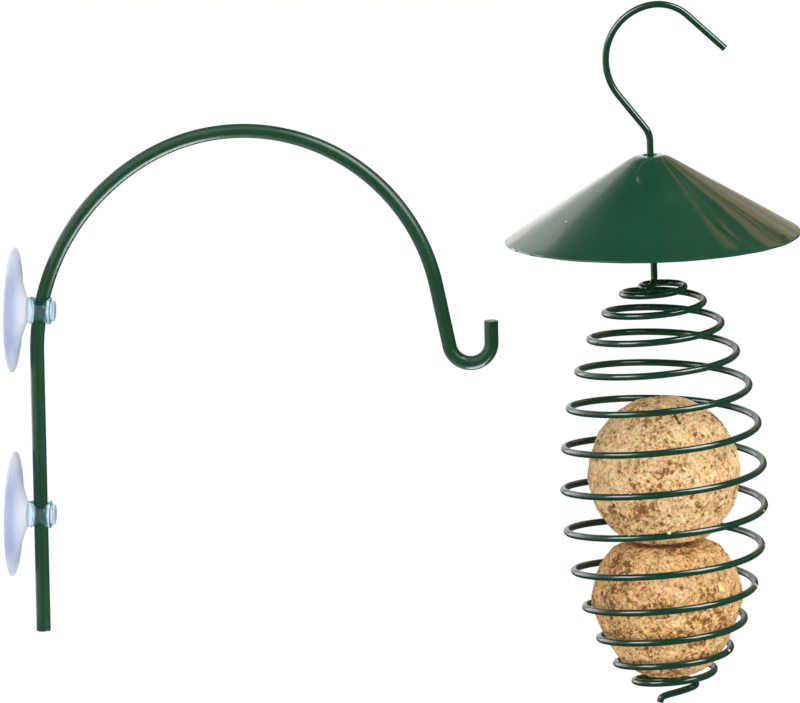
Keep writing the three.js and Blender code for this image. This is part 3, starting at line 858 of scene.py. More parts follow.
class FEEDER_OT_suction_cups(bpy.types.Operator):
    """Builds the two clear suction cups, each with a cross hole for the rod"""

    bl_idname = "feeder.suction_cups"
    bl_label = "Suction cups"

    def execute(self, context):
        settings = context.scene.feeder
        _, spacing = rod_points(settings.rod, settings.cup)
        cup = settings.cup
        # The bell's deeper ring and the knob's green round the hole are painted tints for what is seen through the
        # plastic
        bell = clear_material("cloudy bell plastic", cup.bell_tint, cup.painted_see_through_tint, BELL_HAZE, BELL_CLEARNESS)
        knob = clear_material("clear knob plastic", cup.knob_tint, cup.painted_rod_tint, KNOB_HAZE, KNOB_CLEARNESS)
        mesh = cup_mesh(settings.rod, cup, bell, knob)
        for name, height in (("upper", spacing / 2), ("lower", -spacing / 2)):
            placed = mesh.copy()
            placed.transform(Matrix.Translation((0, 0, height)))
            piece = bpy.data.objects.new(f"suction_cup_{name}_clear", placed)
            context.scene.collection.objects.link(piece)
            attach(piece, "cups")
            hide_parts(f"suction_cup_{name}")
        return {"FINISHED"}


# Feeder wire


# Steps along bends and straight runs of the hook, and along the stem with its crimp
WIRE_BEND_STEP = math.radians(2.5)
WIRE_RUN_STEP = 3 * MM
STEM_STEP = 0.4 * MM
# Steps of the bend under the stem, of the tail and of the knee at its tip
STEM_BEND_STEPS, TAIL_STEPS, KNEE_STEPS = 20, 28, 8
# Points of the tail that the knee takes up, and shares of the tip where the knee ends and where a last ring lies
KNEE_START, KNEE_END, TIP_RING = -5, 0.45, 0.75
# How fast the wire widens at the top of the crimp and narrows again below it
CRIMP_SHOULDER = 0.5 * MM
CRIMP_TAPER = 1.6 * MM
# Points nearer to the stem's line than this are on the stem
STEM_NEAR = 0.1 * MM
CUT_STEEL = (0.10, 0.085, 0.075)


def spiral_middle(wire):
    """Height of the middle of the spiral's egg, from the roof seat."""
    return -wire.stem - wire.below_stem - wire.spiral_half_height * math.cos(wire.level_polar)


def spiral_points(wire, parts):
    """Points of the spiral at parts of its turns, 0 at the top and 1 at the bottom, from the roof seat."""
    parts = np.asarray(parts, float)
    last = math.pi - wire.last_above_pole
    polar = wire.first_polar + (last - wire.first_polar) * parts
    turn = wire.start_angle - 2 * math.pi * wire.turns * parts
    radius = wire.spiral_radius * np.sin(polar)
    height = spiral_middle(wire) + wire.spiral_half_height * np.cos(np.maximum(polar, wire.level_polar))
    return np.stack([wire.off_stem + radius * np.cos(turn), radius * np.sin(turn), height], 1)


def wire_points(wire):
    """The wire's middle line from the tip of the hook to the tip of the tail, from the roof seat."""
    hook = bent_path(
        math.pi / 2,
        [
            (wire.hook_rise, 0),
            (wire.sway_radius, wire.sway_turn),
            (wire.hook_shaft, 0),
            (wire.crown_radius, -wire.crown_turn),
            (wire.nose_radius, -wire.nose_turn),
            (wire.hook_tip, 0),
        ],
        WIRE_BEND_STEP,
        WIRE_RUN_STEP,
    )[::-1]
    hook = np.stack([hook[:, 0], np.zeros(len(hook)), hook[:, 1]], 1)
    steps = round(wire.turns * wire.steps)
    spiral = spiral_points(wire, np.arange(steps + 1) / steps)
    stem_end = np.array((0, 0, -wire.stem))
    inward = spiral[0] - spiral[1]
    inward /= np.linalg.norm(inward)
    bend = bezier(
        stem_end,
        stem_end + (0, 0, -wire.stem_bend),
        spiral[0] + inward * wire.stem_bend,
        spiral[0],
        steps=STEM_BEND_STEPS,
    )
    stem = np.array([(0, 0, -z) for z in np.arange(STEM_STEP, wire.stem - STEM_STEP / 2, STEM_STEP)])
    onward = spiral[-1] - spiral[-2]
    onward /= np.linalg.norm(onward)
    middle = np.array((wire.off_stem - spiral[-1][0], -spiral[-1][1], 0))
    middle /= np.linalg.norm(middle)
    down = np.array((0, 0, -1))
    elbow = spiral[-1] + middle * wire.tail_inward + onward * wire.tail_onward + down * wire.tail_drop
    tip = elbow + middle * wire.tail_lean + down * wire.tail_tip
    run = bezier(spiral[-1], spiral[-1] + onward * wire.tail_bend, elbow, steps=TAIL_STEPS)
    knee = bezier(run[KNEE_START], elbow, elbow + (tip - elbow) * KNEE_END, steps=KNEE_STEPS)
    tail = np.vstack([run[1:KNEE_START], knee, elbow + (tip - elbow) * TIP_RING, tip])
    return np.vstack([hook, stem, bend, spiral[1:], tail])


def crimp_spread(wire, points):
    """Width of the wire along its points against a round one, which grows in the crimp."""
    depth = -points[:, 2] - wire.crimp_top
    on_stem = np.hypot(points[:, 0], points[:, 1]) < STEM_NEAR
    up = np.clip(depth / CRIMP_SHOULDER, 0, 1)
    down = np.clip((wire.crimp_length - depth) / CRIMP_TAPER, 0, 1)
    ease = np.minimum(up, down)
    ease = ease * ease * (3 - 2 * ease) * on_stem
    return 1 + (wire.crimp_width / wire.diameter - 1) * ease


class FEEDER_OT_feeder_wire(bpy.types.Operator):
    """Builds the one-piece wire: hook, stem with its crimp, spiral and tail"""

    bl_idname = "feeder.feeder_wire"
    bl_label = "Feeder wire"

    def execute(self, context):
        wire = context.scene.feeder.wire
        points = wire_points(wire)
        spread = crimp_spread(wire, points)
        half = wire.diameter / 2
        corners, faces, indices = sweep_bar(
            on_feeder(points), half * spread, half / spread, wire.sides, wire.end_round
        )
        coat = coat_material("dark wire coat", wire.coat, WIRE_LOOK)
        core = steel_material("bare cut steel", CUT_STEEL, 0.45, 0.65)
        piece = make_piece("feeder_wire_coated", corners, faces, [coat, core], indices)
        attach(piece, "feeder")
        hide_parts("feeder_wire")
        return {"FINISHED"}


# Roof


# Steps of the round into the slope and rings down the slope
CROWN_STEPS = 10
SLOPE_RINGS = 14
# Rounds of the sheet's and the washer's edges, and the washer's facets
SHEET_ROUND = 0.3 * MM
WASHER_ROUND = 0.18 * MM
WASHER_SEGMENTS = 64
# Waves of the rim: count, shift and weight
RIM_WAVES = [(3, 0.7, 0.5), (5, -1.1, 0.3)]
# Dents of the sheet: layer of the noise, fineness and weight, and how they grow from the crown outwards
SHEET_DENTS = [(3 * MM, 55, 1), (9 * MM, 120, 0.5)]
DENT_GROWTH, DENT_START = 3, 0.4


def roof_face(roof, depth):
    """Corners of one face of the sheet from the hole to the rim."""
    crown, rim = roof.crown / 2, roof.diameter / 2
    slope = roof.height / (rim - crown)
    lift = depth * math.hypot(1, slope)
    knee = crown + (lift - depth) / slope
    ease = roof.crown_round
    bend = bezier((knee - ease, depth), (knee, depth), (knee + ease, depth - ease * slope), steps=CROWN_STEPS)
    edge = np.array((rim, lift - roof.height))
    return np.vstack([[(roof.hole / 2, depth)], bend, edge])


def roof_outline(roof):
    """Closed outline of the roof's sheet, with the hole's and the rim's edges eased."""
    under, over = roof_face(roof, 0), roof_face(roof, roof.sheet)
    parts = np.linspace(0, 1, SLOPE_RINGS + 2)[1:-1, None]
    under_slope = under[-2] + (under[-1] - under[-2]) * parts
    over_slope = over[-1] + (over[-2] - over[-1]) * parts
    ease = SHEET_ROUND
    rim = rounded([(*under_slope[-1], 0), (*under[-1], ease), (*over[-1], ease), (*over_slope[0], 0)])
    hole = rounded([(*over[1], 0), (*over[0], ease), (*under[0], ease), (*under[1], 0)])
    return np.vstack([under[1:-1], under_slope[:-1], rim, over_slope[1:], over[-2:0:-1], hole[1:-1]])


def dent_sheet(points, roof):
    """Shallow dents and a faint wave of the rim, as a pressed sheet has them."""
    moved = points.copy()
    rim = roof.diameter / 2
    for i, (x, y, z) in enumerate(points):
        out = math.hypot(x, y) / rim
        turn = math.atan2(y, x)
        wave = sum(math.sin(waves * turn + shift) * weight for waves, shift, weight in RIM_WAVES)
        dent = sum(noise.noise(Vector((x, y, layer)) * scale) * weight for layer, scale, weight in SHEET_DENTS)
        growth = min(1, max(0, DENT_GROWTH * out - DENT_START))
        moved[i, 2] += roof.dent * (wave * out**2 + dent * growth)
    return moved


class FEEDER_OT_roof(bpy.types.Operator):
    """Builds the pressed sheet roof and the washer that carries it"""

    bl_idname = "feeder.roof"
    bl_label = "Roof and washer"

    def execute(self, context):
        roof = context.scene.feeder.roof
        points, faces = lathe(roof_outline(roof), roof.segments, closed=True)
        points = on_feeder(dent_sheet(points, roof))
        paint = coat_material("green roof paint", roof.coat, ROOF_LOOK)
        piece = make_piece("roof_sheet", points, faces, [paint])
        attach(piece, "roof")
        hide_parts("roof")
        inner, outer, thick = roof.washer_bore / 2, roof.washer / 2, roof.washer_thickness
        ease = WASHER_ROUND
        middle = (inner + outer) / 2
        ring = rounded(
            [
                (middle, 0, 0),
                (outer, 0, ease),
                (outer, thick, ease),
                (inner, thick, ease),
                (inner, 0, ease),
                (middle, 0, 0),
            ]
        )[:-1]
        points, faces = lathe(ring, WASHER_SEGMENTS, closed=True)
        points[:, 2] -= roof.seat_gap + thick
        zinc = steel_material("zinc plate", roof.zinc, 0.28, 0.45)
        washer = make_piece("roof_washer_plated", on_feeder(points), faces, [zinc])
        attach(washer, "washer")
        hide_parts("roof_washer")
        return {"FINISHED"}


# Fat balls


# Numbers that turn a grain's middle into its own random draw
HASH_WAY = Vector((12.9898, 78.233, 37.719))
HASH_SCALE = 43758.5453
# Share of a grain's width that its rounded edge takes
GRAIN_EDGE = 0.42
# Draws below this are plain meal, with tones up to the second number
MEAL_SHARE, MEAL_TONE = 0.94, 0.72
# Tones of the other grains, husk, corn and dark seed, each with the draw below which it is taken
SEED_TONES = [(0.975, 0.76), (0.994, 0.87), (math.inf, 0.96)]
# Fineness and reach, in metres, of the noise that bends the grains, and the shift of the fine ones from the coarse
WARP_SCALE, WARP_REACH = 420, 0.0006
FINE_SHIFT = Vector((0.013, 0, 0))
# Fineness of the noise of crumbled patches and of lumps
PATCH_SCALE, SMALL_PATCH_SCALE, LUMP_SCALE = 62, 140, 190
# How far meal has crumbled away on each ball: all over, and more towards the top
CRUMBLED = {"upper": (0.0, 0.1), "lower": (0.16, 0.0)}
# How much small patches count, and from where and over what range of the noise meal is loose
SMALL_PATCH_SHARE = 0.5
LOOSE_FROM, LOOSE_RANGE = 0.05, 0.35
# Grains with draws above this may have crumbled away, and how much fine seams count for pits
PIT_DRAW, FINE_PIT = 0.35, 0.8
# How much seams, fine seams and pits shade a point
SEAM_SHADE, FINE_SHADE, PIT_SHADE = 0.25, 0.3, 0.9
# How deep lumps go against their height, and how far the whole surface is lifted for them
LUMP_DEPTH, LUMP_LIFT = 0.6, 0.3
# Angle in degrees that leaves balls and crumbs without any sharp edge
ALL_SMOOTH = 180
BALL_SUBDIVISIONS, CHIP_SUBDIVISIONS = 7, 2


def solid_surface(node, directions):
    """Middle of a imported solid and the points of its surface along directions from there."""
    solid = frame["nodes"][node].data
    tree = BVHTree.FromPolygons([v.co for v in solid.vertices], [f.vertices[:] for f in solid.polygons])
    low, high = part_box(node)
    middle = (low + high) / 2
    hits = [tree.ray_cast(middle, Vector(way))[0] for way in directions]
    return np.array(middle), np.array(hits)


def grain_at(point, width):
    """Draw and roundness of the grain at a point, for grains of a width."""
    near, centres = noise.voronoi(point / width, distance_metric="DISTANCE")
    draw = math.sin(centres[0].dot(HASH_WAY)) * HASH_SCALE
    return draw - math.floor(draw), min(1.0, (near[1] - near[0]) / GRAIN_EDGE)


def grain_tone(draw):
    """Tone of a grain: mostly fat and flakes, now and then a husk, corn or a dark seed."""
    if draw < MEAL_SHARE:
        return MEAL_TONE * draw
    return next(tone for limit, tone in SEED_TONES if draw < limit)


def ball_surface(form, middle, ball, crumbled, crumbled_top):
    """The form roughened by lumps, grains and pits, with each point's tone and the painted shade of its seams and
    pits.
    """
    reach = (form[:, 2].max() - form[:, 2].min()) / 2
    lengths = np.linalg.norm(form - middle, axis=1)
    tones, gaps, depths = (np.zeros(len(form)) for _ in range(3))
    for i, row in enumerate(form):
        point = Vector(row)
        warped = point + noise.noise_vector(point * WARP_SCALE) * WARP_REACH
        _, coarse = grain_at(warped, ball.grain)
        draw, fine = grain_at(warped + FINE_SHIFT, ball.fine_grain)
        loose = noise.noise(point * PATCH_SCALE) + SMALL_PATCH_SHARE * noise.noise(point * SMALL_PATCH_SCALE)
        loose += crumbled + crumbled_top * (point.z - middle[2]) / reach
        loose = min(1, max(0, (loose - LOOSE_FROM) / LOOSE_RANGE))
        seam, fine_seam = (1 - coarse) ** 2, (1 - fine) ** 2
        pit = loose * max(seam, FINE_PIT * fine_seam) if draw > PIT_DRAW else 0
        tones[i] = grain_tone(draw)
        gaps[i] = min(1, SEAM_SHADE * seam + FINE_SHADE * fine_seam + PIT_SHADE * pit)
        depths[i] = (
            LUMP_DEPTH * ball.lump * (1 - noise.noise(point * LUMP_SCALE))
            + ball.grain_depth * seam
            + ball.fine_depth * fine_seam
            + ball.pit_depth * pit
            - LUMP_LIFT * ball.lump
        )
    return middle + (form - middle) * (1 - depths / lengths)[:, None], tones, gaps


def add_tones_and_shade(piece, tones, gaps):
    """Keeps each point's tone and painted shade on the mesh, where the material reads them."""
    for name, values in (("tone", tones), ("gap", gaps)):
        layer = piece.data.attributes.new(name, "FLOAT", "POINT")
        layer.data.foreach_set("value", np.asarray(values, np.float32))


def ico_points(subdivisions):
    """Points on a unit ball and its triangles."""
    shape = bmesh.new()
    bmesh.ops.create_icosphere(shape, subdivisions=subdivisions, radius=1)
    points = np.array([v.co for v in shape.verts])
    faces = [tuple(v.index for v in face.verts) for face in shape.faces]
    shape.free()
    return points / np.linalg.norm(points, axis=1)[:, None], faces


# Chips pressed into a ball: draw below which a kind is taken, half length, width and thickness against the drawn
# size, and range of tones. The meal's grains draw their width, the others are husks, corn and dark seeds.
CHIP_SIZES = (0.35, 0.8)
GRAIN_WIDTHS = (0.6, 0.95)
CHIP_KINDS = [
    (0.80, 1.0, None, 0.6, (0.2, 0.71)),
    (0.91, 1.1, 0.5, 0.35, (0.73, 0.81)),
    (0.97, 0.8, 0.6, 0.5, (0.83, 0.92)),
    (math.inf, 0.6, 0.45, 0.4, (0.94, 1.0)),
]
# How far a chip's points may lie off its smooth form, and how deep it sinks against its thickness
CHIP_UNEVEN = 0.22
CHIP_SINK = (0.2, 0.6)


def chip_kind(draws):
    """Half sizes and tone of one seed, flake or husk pressed into a ball."""
    kind = draws.random()
    size = draws.uniform(*CHIP_SIZES) * MM
    _, long, wide, thick, tones = next(row for row in CHIP_KINDS if kind < row[0])
    if wide is None:
        wide = draws.uniform(*GRAIN_WIDTHS)
    return (size * long, size * wide, size * thick), draws.uniform(*tones)


def chip_piece(name, chips, draws, material, placed=np.asarray):
    """One piece of chips (place, outward way, half sizes, turn, tone), put into the part's frame by placed."""
    unit, unit_faces = ico_points(CHIP_SUBDIVISIONS)
    points, faces, tones = [], [], []
    for place, outward, sizes, turn, tone in chips:
        shape = unit * (1 + draws.uniform(-CHIP_UNEVEN, CHIP_UNEVEN, (len(unit), 1)))
        shape = shape * np.asarray(sizes)
        spin = Quaternion(Vector(outward), turn)
        tilt = Vector(outward).to_track_quat("Z", "Y")
        turned = np.array((spin @ tilt).to_matrix())
        start = len(points) * len(unit)
        points.append(shape @ turned.T + place)
        faces += [tuple(start + v for v in face) for face in unit_faces]
        tones += [tone] * len(unit)
    piece = make_piece(name, placed(np.vstack(points)), faces, [material], sharp=ALL_SMOOTH)
    add_tones_and_shade(piece, tones, np.zeros(len(tones)))
    return piece


def pressed_chips(total, surface, ways, draws):
    """Small chips pressed into a ball at random points of its surface."""
    chips = []
    for i in draws.integers(len(ways), size=total):
        sizes, tone = chip_kind(draws)
        place = surface[i] - ways[i] * sizes[2] * draws.uniform(*CHIP_SINK)
        chips.append((place, ways[i], sizes, draws.uniform(0, 2 * math.pi), tone))
    return chips


# Larger pieces in front, for each ball: turn round the stem and height in degrees, half length and half width in
# millimetres, lean in degrees and tone
LARGE_FLAKES = {
    "upper": [
        (-64.8, 53.0, 2.3, 0.55, 8, 0.96),
        (-63.5, 48.0, 0.8, 0.7, 60, 0.96),
        (-67.8, 10.7, 0.9, 0.7, 30, 0.88),
        (-28.6, -27.0, 1.4, 0.8, -40, 0.77),
        (-127.5, -18.7, 0.7, 0.5, 20, 0.97),
        (-114.9, -17.7, 1.0, 0.6, 70, 0.87),
    ],
    "lower": [
        (-35.0, 21.0, 2.9, 1.7, 10, 0.90),
        (-115.3, 20.7, 2.0, 1.4, -30, 0.66),
        (-79.9, -29.7, 1.3, 0.9, 40, 0.88),
        (-52.9, 7.1, 0.9, 0.5, 80, 0.96),
    ],
}
# Half thickness of a larger flake, how deep its middle sinks, and the angle round it whose highest point it lies on
FLAKE_HALF = 0.35 * MM
FLAKE_SINK = 0.1 * MM
FLAKE_SEAT = math.radians(3)


def large_chips(flakes, surface, ways, middle):
    """The larger flakes of a ball, each lying on the surface round it."""
    turns, heights = (np.radians([flake[i] for flake in flakes]) for i in (0, 1))
    outward = np.stack([np.cos(turns) * np.cos(heights), np.sin(turns) * np.cos(heights), np.sin(heights)], 1)
    chips = []
    for way, (_, _, long, wide, lean, tone) in zip(on_feeder(outward) - STEM_SEAT, flakes):
        around = surface[ways @ way > math.cos(FLAKE_SEAT)]
        place = middle + way * np.linalg.norm(around - middle, axis=1).max()
        sizes = (wide * MM, long * MM, FLAKE_HALF)
        chips.append((place - way * FLAKE_SINK, way, sizes, math.radians(lean), tone))
    return chips


class FEEDER_OT_fat_balls(bpy.types.Operator):
    """Builds the two crumbly fat balls with the seeds and flakes pressed into them"""

    bl_idname = "feeder.fat_balls"
    bl_label = "Fat balls"

    def execute(self, context):
        ball = context.scene.feeder.ball
        draws = np.random.default_rng(ball.seed)
        noise.seed_set(ball.seed)
        upper = meal_material("pressed fat and meal", ball)
        lower = meal_material("browner fat and meal", ball, ball.lower_tint)
        ways, faces = ico_points(BALL_SUBDIVISIONS)
        for name, meal in (("upper", upper), ("lower", lower)):
            node = f"fat_ball_{name}"
            middle, form = solid_surface(node, ways)
            surface, tones, gaps = ball_surface(form, middle, ball, *CRUMBLED[name])
            piece = make_piece(f"{node}_pressed", surface, faces, [meal], sharp=ALL_SMOOTH)
            add_tones_and_shade(piece, tones, gaps)
            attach(piece, f"{name} ball")
            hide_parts(node)
            chips = pressed_chips(ball.chips, surface, ways, draws)
            chips += large_chips(LARGE_FLAKES[name], surface, ways, middle)
            seeds = chip_piece(f"{node}_seeds", chips, draws, meal)
            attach(seeds, f"{name} ball")
        return {"FINISHED"}


# Paler meal of loose crumbs
LOOSE_TINT = (1.0, 1.2, 1.6)
# Tones of loose crumbs, and their half width, half thickness and lift off the wire against their half length
LOOSE_TONES = (0.5, 0.71)
LOOSE_WIDTH, LOOSE_THICKNESS, LOOSE_LIFT = 0.75, 0.55, 0.2
# Crumbs that stick to the strands: place along the turns, half length in millimetres and turn round the wire
STRAND_CRUMBS = [
    (0.5082, 0.55, 80),
    (0.5071, 0.45, 70),
    (0.5764, 1.05, 65),
    (0.5748, 0.7, 95),
    (0.5801, 0.5, 75),
    (0.5811, 0.4, 60),
    (0.5845, 0.4, 85),
    (0.5618, 0.55, 20),
    (0.6330, 0.45, 30),
    (0.7081, 1.15, 45),
    (0.8573, 0.75, 40),
    (0.9797, 0.8, 80),
    (0.9827, 0.6, 70),
    (0.6120, 0.5, 110),
    (0.4804, 0.4, 60),
    (0.4779, 0.35, 90),
]


class FEEDER_OT_strand_crumbs(bpy.types.Operator):
    """Builds the crumbs of meal that stick to the strands of the spiral"""

    bl_idname = "feeder.strand_crumbs"
    bl_label = "Crumbs on the strands"

    def execute(self, context):
        settings = context.scene.feeder
        wire = settings.wire
        draws = np.random.default_rng(settings.ball.seed + 1)
        axis = np.array((wire.off_stem, 0, 0))
        chips = []
        for part, size, turn in STRAND_CRUMBS:
            at = spiral_points(wire, [part])[0]
            out = (at - axis) * np.array((1, 1, 0))
            out /= np.linalg.norm(out)
            lift = math.radians(turn)
            outward = out * math.cos(lift) + np.array((0, 0, math.sin(lift)))
            half = size * MM
            place = at + outward * (wire.diameter / 2 + half * LOOSE_LIFT)
            sizes = (half, half * LOOSE_WIDTH, half * LOOSE_THICKNESS)
            chips.append((place, outward, sizes, draws.uniform(0, 2 * math.pi), draws.uniform(*LOOSE_TONES)))
        meal = meal_material("loose crumbs", settings.ball, LOOSE_TINT)
        piece = chip_piece("strand_crumbs", chips, draws, meal, on_feeder)
        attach(piece, "feeder")
        return {"FINISHED"}


# Stage


WHITE = (1, 1, 1)
BROWN = (0.85, 0.60, 0.42)
LOW_WALL = (0.80, 0.62, 0.48)
HIGH_WALL = (0.95, 0.48, 0.28)
# Least brightness of the studio as the coats mirror it
DARK_ROOM = 0.05


def stage_world(stage):
    """Even light, a white background, and a studio that is dark behind the camera and warm on the right."""
    world = bpy.data.worlds.new("studio")
    world.use_nodes = True
    bpy.context.scene.world = world
    tree = world.node_tree
    way = put(tree, "ShaderNodeTexCoord").outputs["Generated"]
    x, y, z = put(tree, "ShaderNodeSeparateXYZ", {"Vector": way}).outputs
    left = fade(tree, x, -0.12, -0.4)
    back = math_of(tree, "MULTIPLY", fade(tree, y, 0.5, 0.85), fade(tree, x, -0.1, 0.02, 1.0, 0.12))
    white_room = math_of(tree, "MAXIMUM", left, back)
    white_room = math_of(tree, "MULTIPLY", white_room, fade(tree, z, 0.5, 0.85, 1.0, 0.08))
    room = grain(tree, way, 3.4, 3.0, Distortion=0.8)["Fac"]
    patch = remap(tree, math_of(tree, "MULTIPLY_ADD", z, -0.4, room), 0.24, 0.27, 0.1, 0.85)
    warm = math_of(tree, "MULTIPLY", fade(tree, x, -0.04, 0.08), fade(tree, y, 0.0, 0.3))
    warm = math_of(tree, "MULTIPLY", warm, fade(tree, z, 0.24, 0.36))
    level = math_of(tree, "MAXIMUM", mix(tree, warm, white_room, patch), DARK_ROOM)
    wall = mix(tree, fade(tree, z, 0.2, 0.45), rgba(LOW_WALL), rgba(HIGH_WALL))
    tint = mix(tree, warm, rgba(WHITE), wall)
    mirrored, even, white = (
        put(tree, "ShaderNodeBackground", {"Color": shade, "Strength": strength})
        for shade, strength in ((tint, level), (rgba(WHITE), stage.sky), (rgba(WHITE), 1.0))
    )
    path = put(tree, "ShaderNodeLightPath").outputs
    plain = math_of(tree, "MAXIMUM", path["Is Camera Ray"], path["Is Transmission Ray"])
    lit = blend(tree, path["Is Glossy Ray"], even, mirrored)
    seen = blend(tree, plain, lit, white)
    tree.links.new(seen.outputs[0], tree.nodes["World Output"].inputs["Surface"])


def aim(thing, place, target):
    """Puts a lamp or camera at a place, looking at a target."""
    thing.location = place
    thing.rotation_euler = (Vector(target) - Vector(place)).to_track_quat("-Z", "Y").to_euler()
    bpy.context.scene.collection.objects.link(thing)
    return thing


# Where the soft lamp stands from the middle of the picture
LAMP_WAY = Vector((0.62, -0.72, 0.45))
# What the panels point at
MIDDLE = (0.17, 0, 0.03)
ROOF = (0.26, 0, 0.12)
# Pieces that a panel lights alone or leaves out, because the two items of the set were lit apart
ON_ALL = ("EXCLUDE", [])
ON_ROD = ("INCLUDE", ["bracket_rod_coated"])
ON_ROOF = ("INCLUDE", ["roof_sheet"])
OFF_ROOF = ("EXCLUDE", ["roof_sheet"])
OFF_ROD_AND_ROOF = ("EXCLUDE", ["bracket_rod_coated", "roof_sheet"])
# Panels that draw highlights: place and aim, width and height in metres, brightness, colour and the pieces lit
PANELS = [
    ("front left panel", (-1.20, -1.32, 0.93), MIDDLE, 1.2, 1.2, 13.0, WHITE, OFF_ROD_AND_ROOF),
    ("front right panel", (1.60, -0.92, 1.95), MIDDLE, 1.3, 2.6, 16.0, WHITE, OFF_ROOF),
    ("back left panel", (-1.83, 0.90, 0.13), MIDDLE, 2.0, 2.0, 2.5, WHITE, ON_ALL),
    ("low panel", (0.50, -0.10, -0.50), (0.50, -0.099, 0), 0.8, 0.5, 20.0, WHITE, ON_ROD),
    ("left white wall", (-1.30, -0.95, 0.70), MIDDLE, 2.6, 3.0, 1.6, WHITE, ON_ROD),
    ("white ceiling", (0.10, -0.70, 1.90), MIDDLE, 2.6, 2.0, 1.8, WHITE, ON_ROD),
    ("right white wall", (1.60, -0.92, 1.95), MIDDLE, 2.4, 2.4, 5.0, WHITE, ON_ROD),
    ("white table", (-0.43, -0.05, -0.45), (-0.43, -0.049, 0), 1.0, 1.0, 1.5, WHITE, ON_ROD),
    ("high white wall", (-0.40, 1.50, 0.50), ROOF, 1.0, 1.6, 0.3, WHITE, ON_ROOF),
    ("low white wall", (-0.30, 1.50, 0.15), ROOF, 1.0, 0.7, 0.4, WHITE, ON_ROOF),
    ("brown wall", (0.40, 1.60, 0.22), ROOF, 0.56, 0.8, 0.5, BROWN, ON_ROOF),
]


def stage_lamps(stage, target):
    """A wide soft lamp in front, and panels that only draw highlights."""
    soft = bpy.data.lights.new("soft lamp", "SUN")
    soft.energy = stage.key
    soft.angle = stage.key_angle
    shown = aim(bpy.data.objects.new("soft lamp", soft), target + LAMP_WAY, target)
    shown.visible_glossy = False
    for name, place, look_at, wide, high, level, tint, (state, pieces) in PANELS:
        panel = bpy.data.lights.new(name, "AREA")
        panel.shape = "RECTANGLE"
        panel.size, panel.size_y = wide, high
        panel.color = tint
        panel.energy = stage.panel * level * math.pi * wide * high
        shown = aim(bpy.data.objects.new(name, panel), place, look_at)
        shown.visible_camera = False
        shown.visible_diffuse = False
        shown.visible_transmission = False
        if pieces:
            lit = bpy.data.collections.new(name)
            for piece in pieces:
                lit.objects.link(bpy.data.objects[piece])
            for entry in lit.collection_objects:
                entry.light_linking.link_state = state
            shown.light_linking.receiver_collection = lit


def stage_floor(stage):
    """A plain white floor that keeps the object's shadow, and that glows to glossy rays as a painted reflection,
    dim near the object and bright far to the left.
    """
    half, height = stage.floor_size, stage.floor_height
    corners = [(-half, -half, height), (half, -half, height), (half, half, height), (-half, half, height)]
    material, tree, place = new_material("studio floor")
    tree.nodes.remove(tree.nodes["Principled BSDF"])
    fine = remap(tree, grain(tree, place, 3.0, 2.0)["Fac"], 0.3, 0.7)
    paper = mix(tree, fine, rgba([0.95] * 3), rgba([0.97] * 3))
    matt = put(tree, "ShaderNodeBsdfDiffuse", {"Color": paper})
    glow = put(tree, "ShaderNodeEmission", {"Color": rgba(WHITE), "Strength": 1.0})
    path = put(tree, "ShaderNodeLightPath").outputs
    seen = math_of(tree, "MAXIMUM", path["Is Camera Ray"], path["Is Transmission Ray"])
    plain = blend(tree, math_of(tree, "MULTIPLY", seen, stage.floor_white), matt, glow)
    # Painted reflection: to glossy rays the floor glows, dim near the object and bright far towards -X
    x = put(tree, "ShaderNodeSeparateXYZ", {"Vector": place}).outputs["X"]
    mirrored = put(tree, "ShaderNodeEmission", {"Strength": fade(tree, x, -0.6, -1.8, 0.1, 1.0)})
    glossy = math_of(tree, "MAXIMUM", math_of(tree, "SUBTRACT", path["Is Glossy Ray"], seen), 0.0)
    shine = blend(tree, glossy, plain, mirrored)
    tree.links.new(shine.outputs[0], tree.nodes["Material Output"].inputs["Surface"])
    floor = make_piece("studio_floor", corners, [(0, 1, 2, 3)], [material])


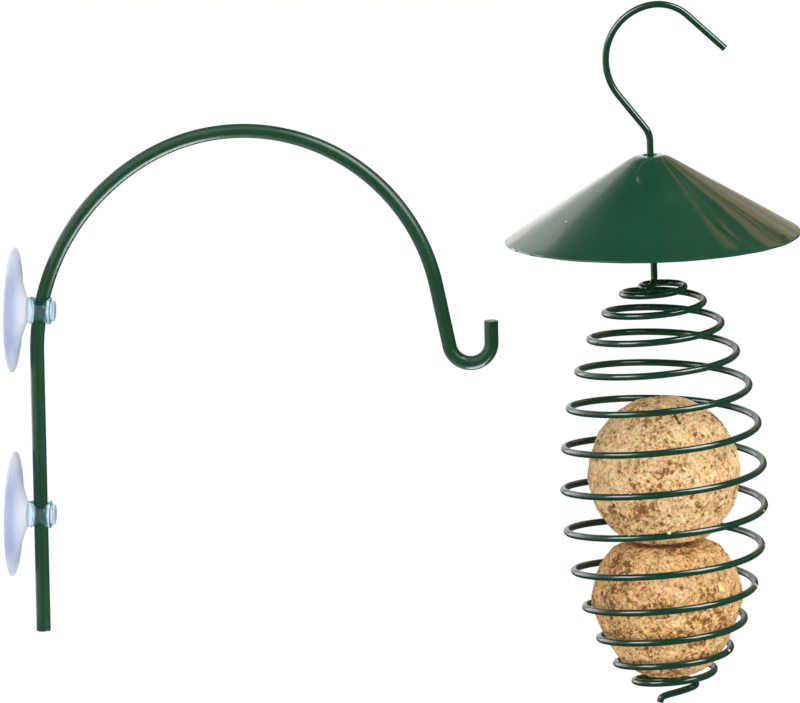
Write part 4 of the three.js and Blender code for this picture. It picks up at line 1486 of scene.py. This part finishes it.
class FEEDER_OT_stage(bpy.types.Operator):
    """Sets up the camera, the soft light and the plain floor"""

    bl_idname = "feeder.stage"
    bl_label = "Stage"

    def execute(self, context):
        stage = context.scene.feeder.stage
        context.scene.view_settings.view_transform = "Standard"
        context.scene.cycles.glossy_bounces = 12
        context.scene.cycles.transmission_bounces = 16
        context.scene.cycles.max_bounces = 24
        lens = bpy.data.cameras.new("camera")
        lens.sensor_width = SENSOR_MM
        lens.lens = SENSOR_MM * stage.distance / stage.frame_width
        lens.clip_start, lens.clip_end = 0.1, 200
        target = Vector((stage.aim_x, 0, stage.aim_z))
        a, e = stage.azimuth, stage.elevation
        back = Vector((math.sin(a) * math.cos(e), -math.cos(a) * math.cos(e), math.sin(e)))
        context.scene.camera = aim(bpy.data.objects.new("camera", lens), target + back * stage.distance, target)
        stage_lamps(stage, target)
        stage_world(stage)
        stage_floor(stage)
        return {"FINISHED"}


# Panel and start


class FEEDER_PT_build(bpy.types.Panel):
    """Lists the steps that build the feeder and its bracket"""

    bl_idname = "FEEDER_PT_build"
    bl_label = "Fat-ball feeder"
    bl_space_type = "VIEW_3D"
    bl_region_type = "UI"
    bl_category = "Feeder"

    def draw(self, context):
        for step in STEPS:
            self.layout.operator(step.bl_idname)


STEPS = (
    FEEDER_OT_bracket_rod,
    FEEDER_OT_suction_cups,
    FEEDER_OT_feeder_wire,
    FEEDER_OT_roof,
    FEEDER_OT_fat_balls,
    FEEDER_OT_strand_crumbs,
    FEEDER_OT_stage,
)

CLASSES = (
    RodSettings,
    CupSettings,
    WireSettings,
    RoofSettings,
    BallSettings,
    StageSettings,
    FeederSettings,
    *STEPS,
    FEEDER_PT_build,
)


def register():
    """Adds the settings, the steps and the panel."""
    for made in CLASSES:
        bpy.utils.register_class(made)
    bpy.types.Scene.feeder = PointerProperty(type=FeederSettings)


def unregister():
    """Takes away what register added."""
    del bpy.types.Scene.feeder
    for made in reversed(CLASSES):
        bpy.utils.unregister_class(made)


def main():
    """Builds the whole scene."""
    register()
    bpy.ops.feeder.bracket_rod()
    bpy.ops.feeder.suction_cups()
    bpy.ops.feeder.feeder_wire()
    bpy.ops.feeder.roof()
    bpy.ops.feeder.fat_balls()
    bpy.ops.feeder.strand_crumbs()
    bpy.ops.feeder.stage()


if __name__ == "__main__":
    main()
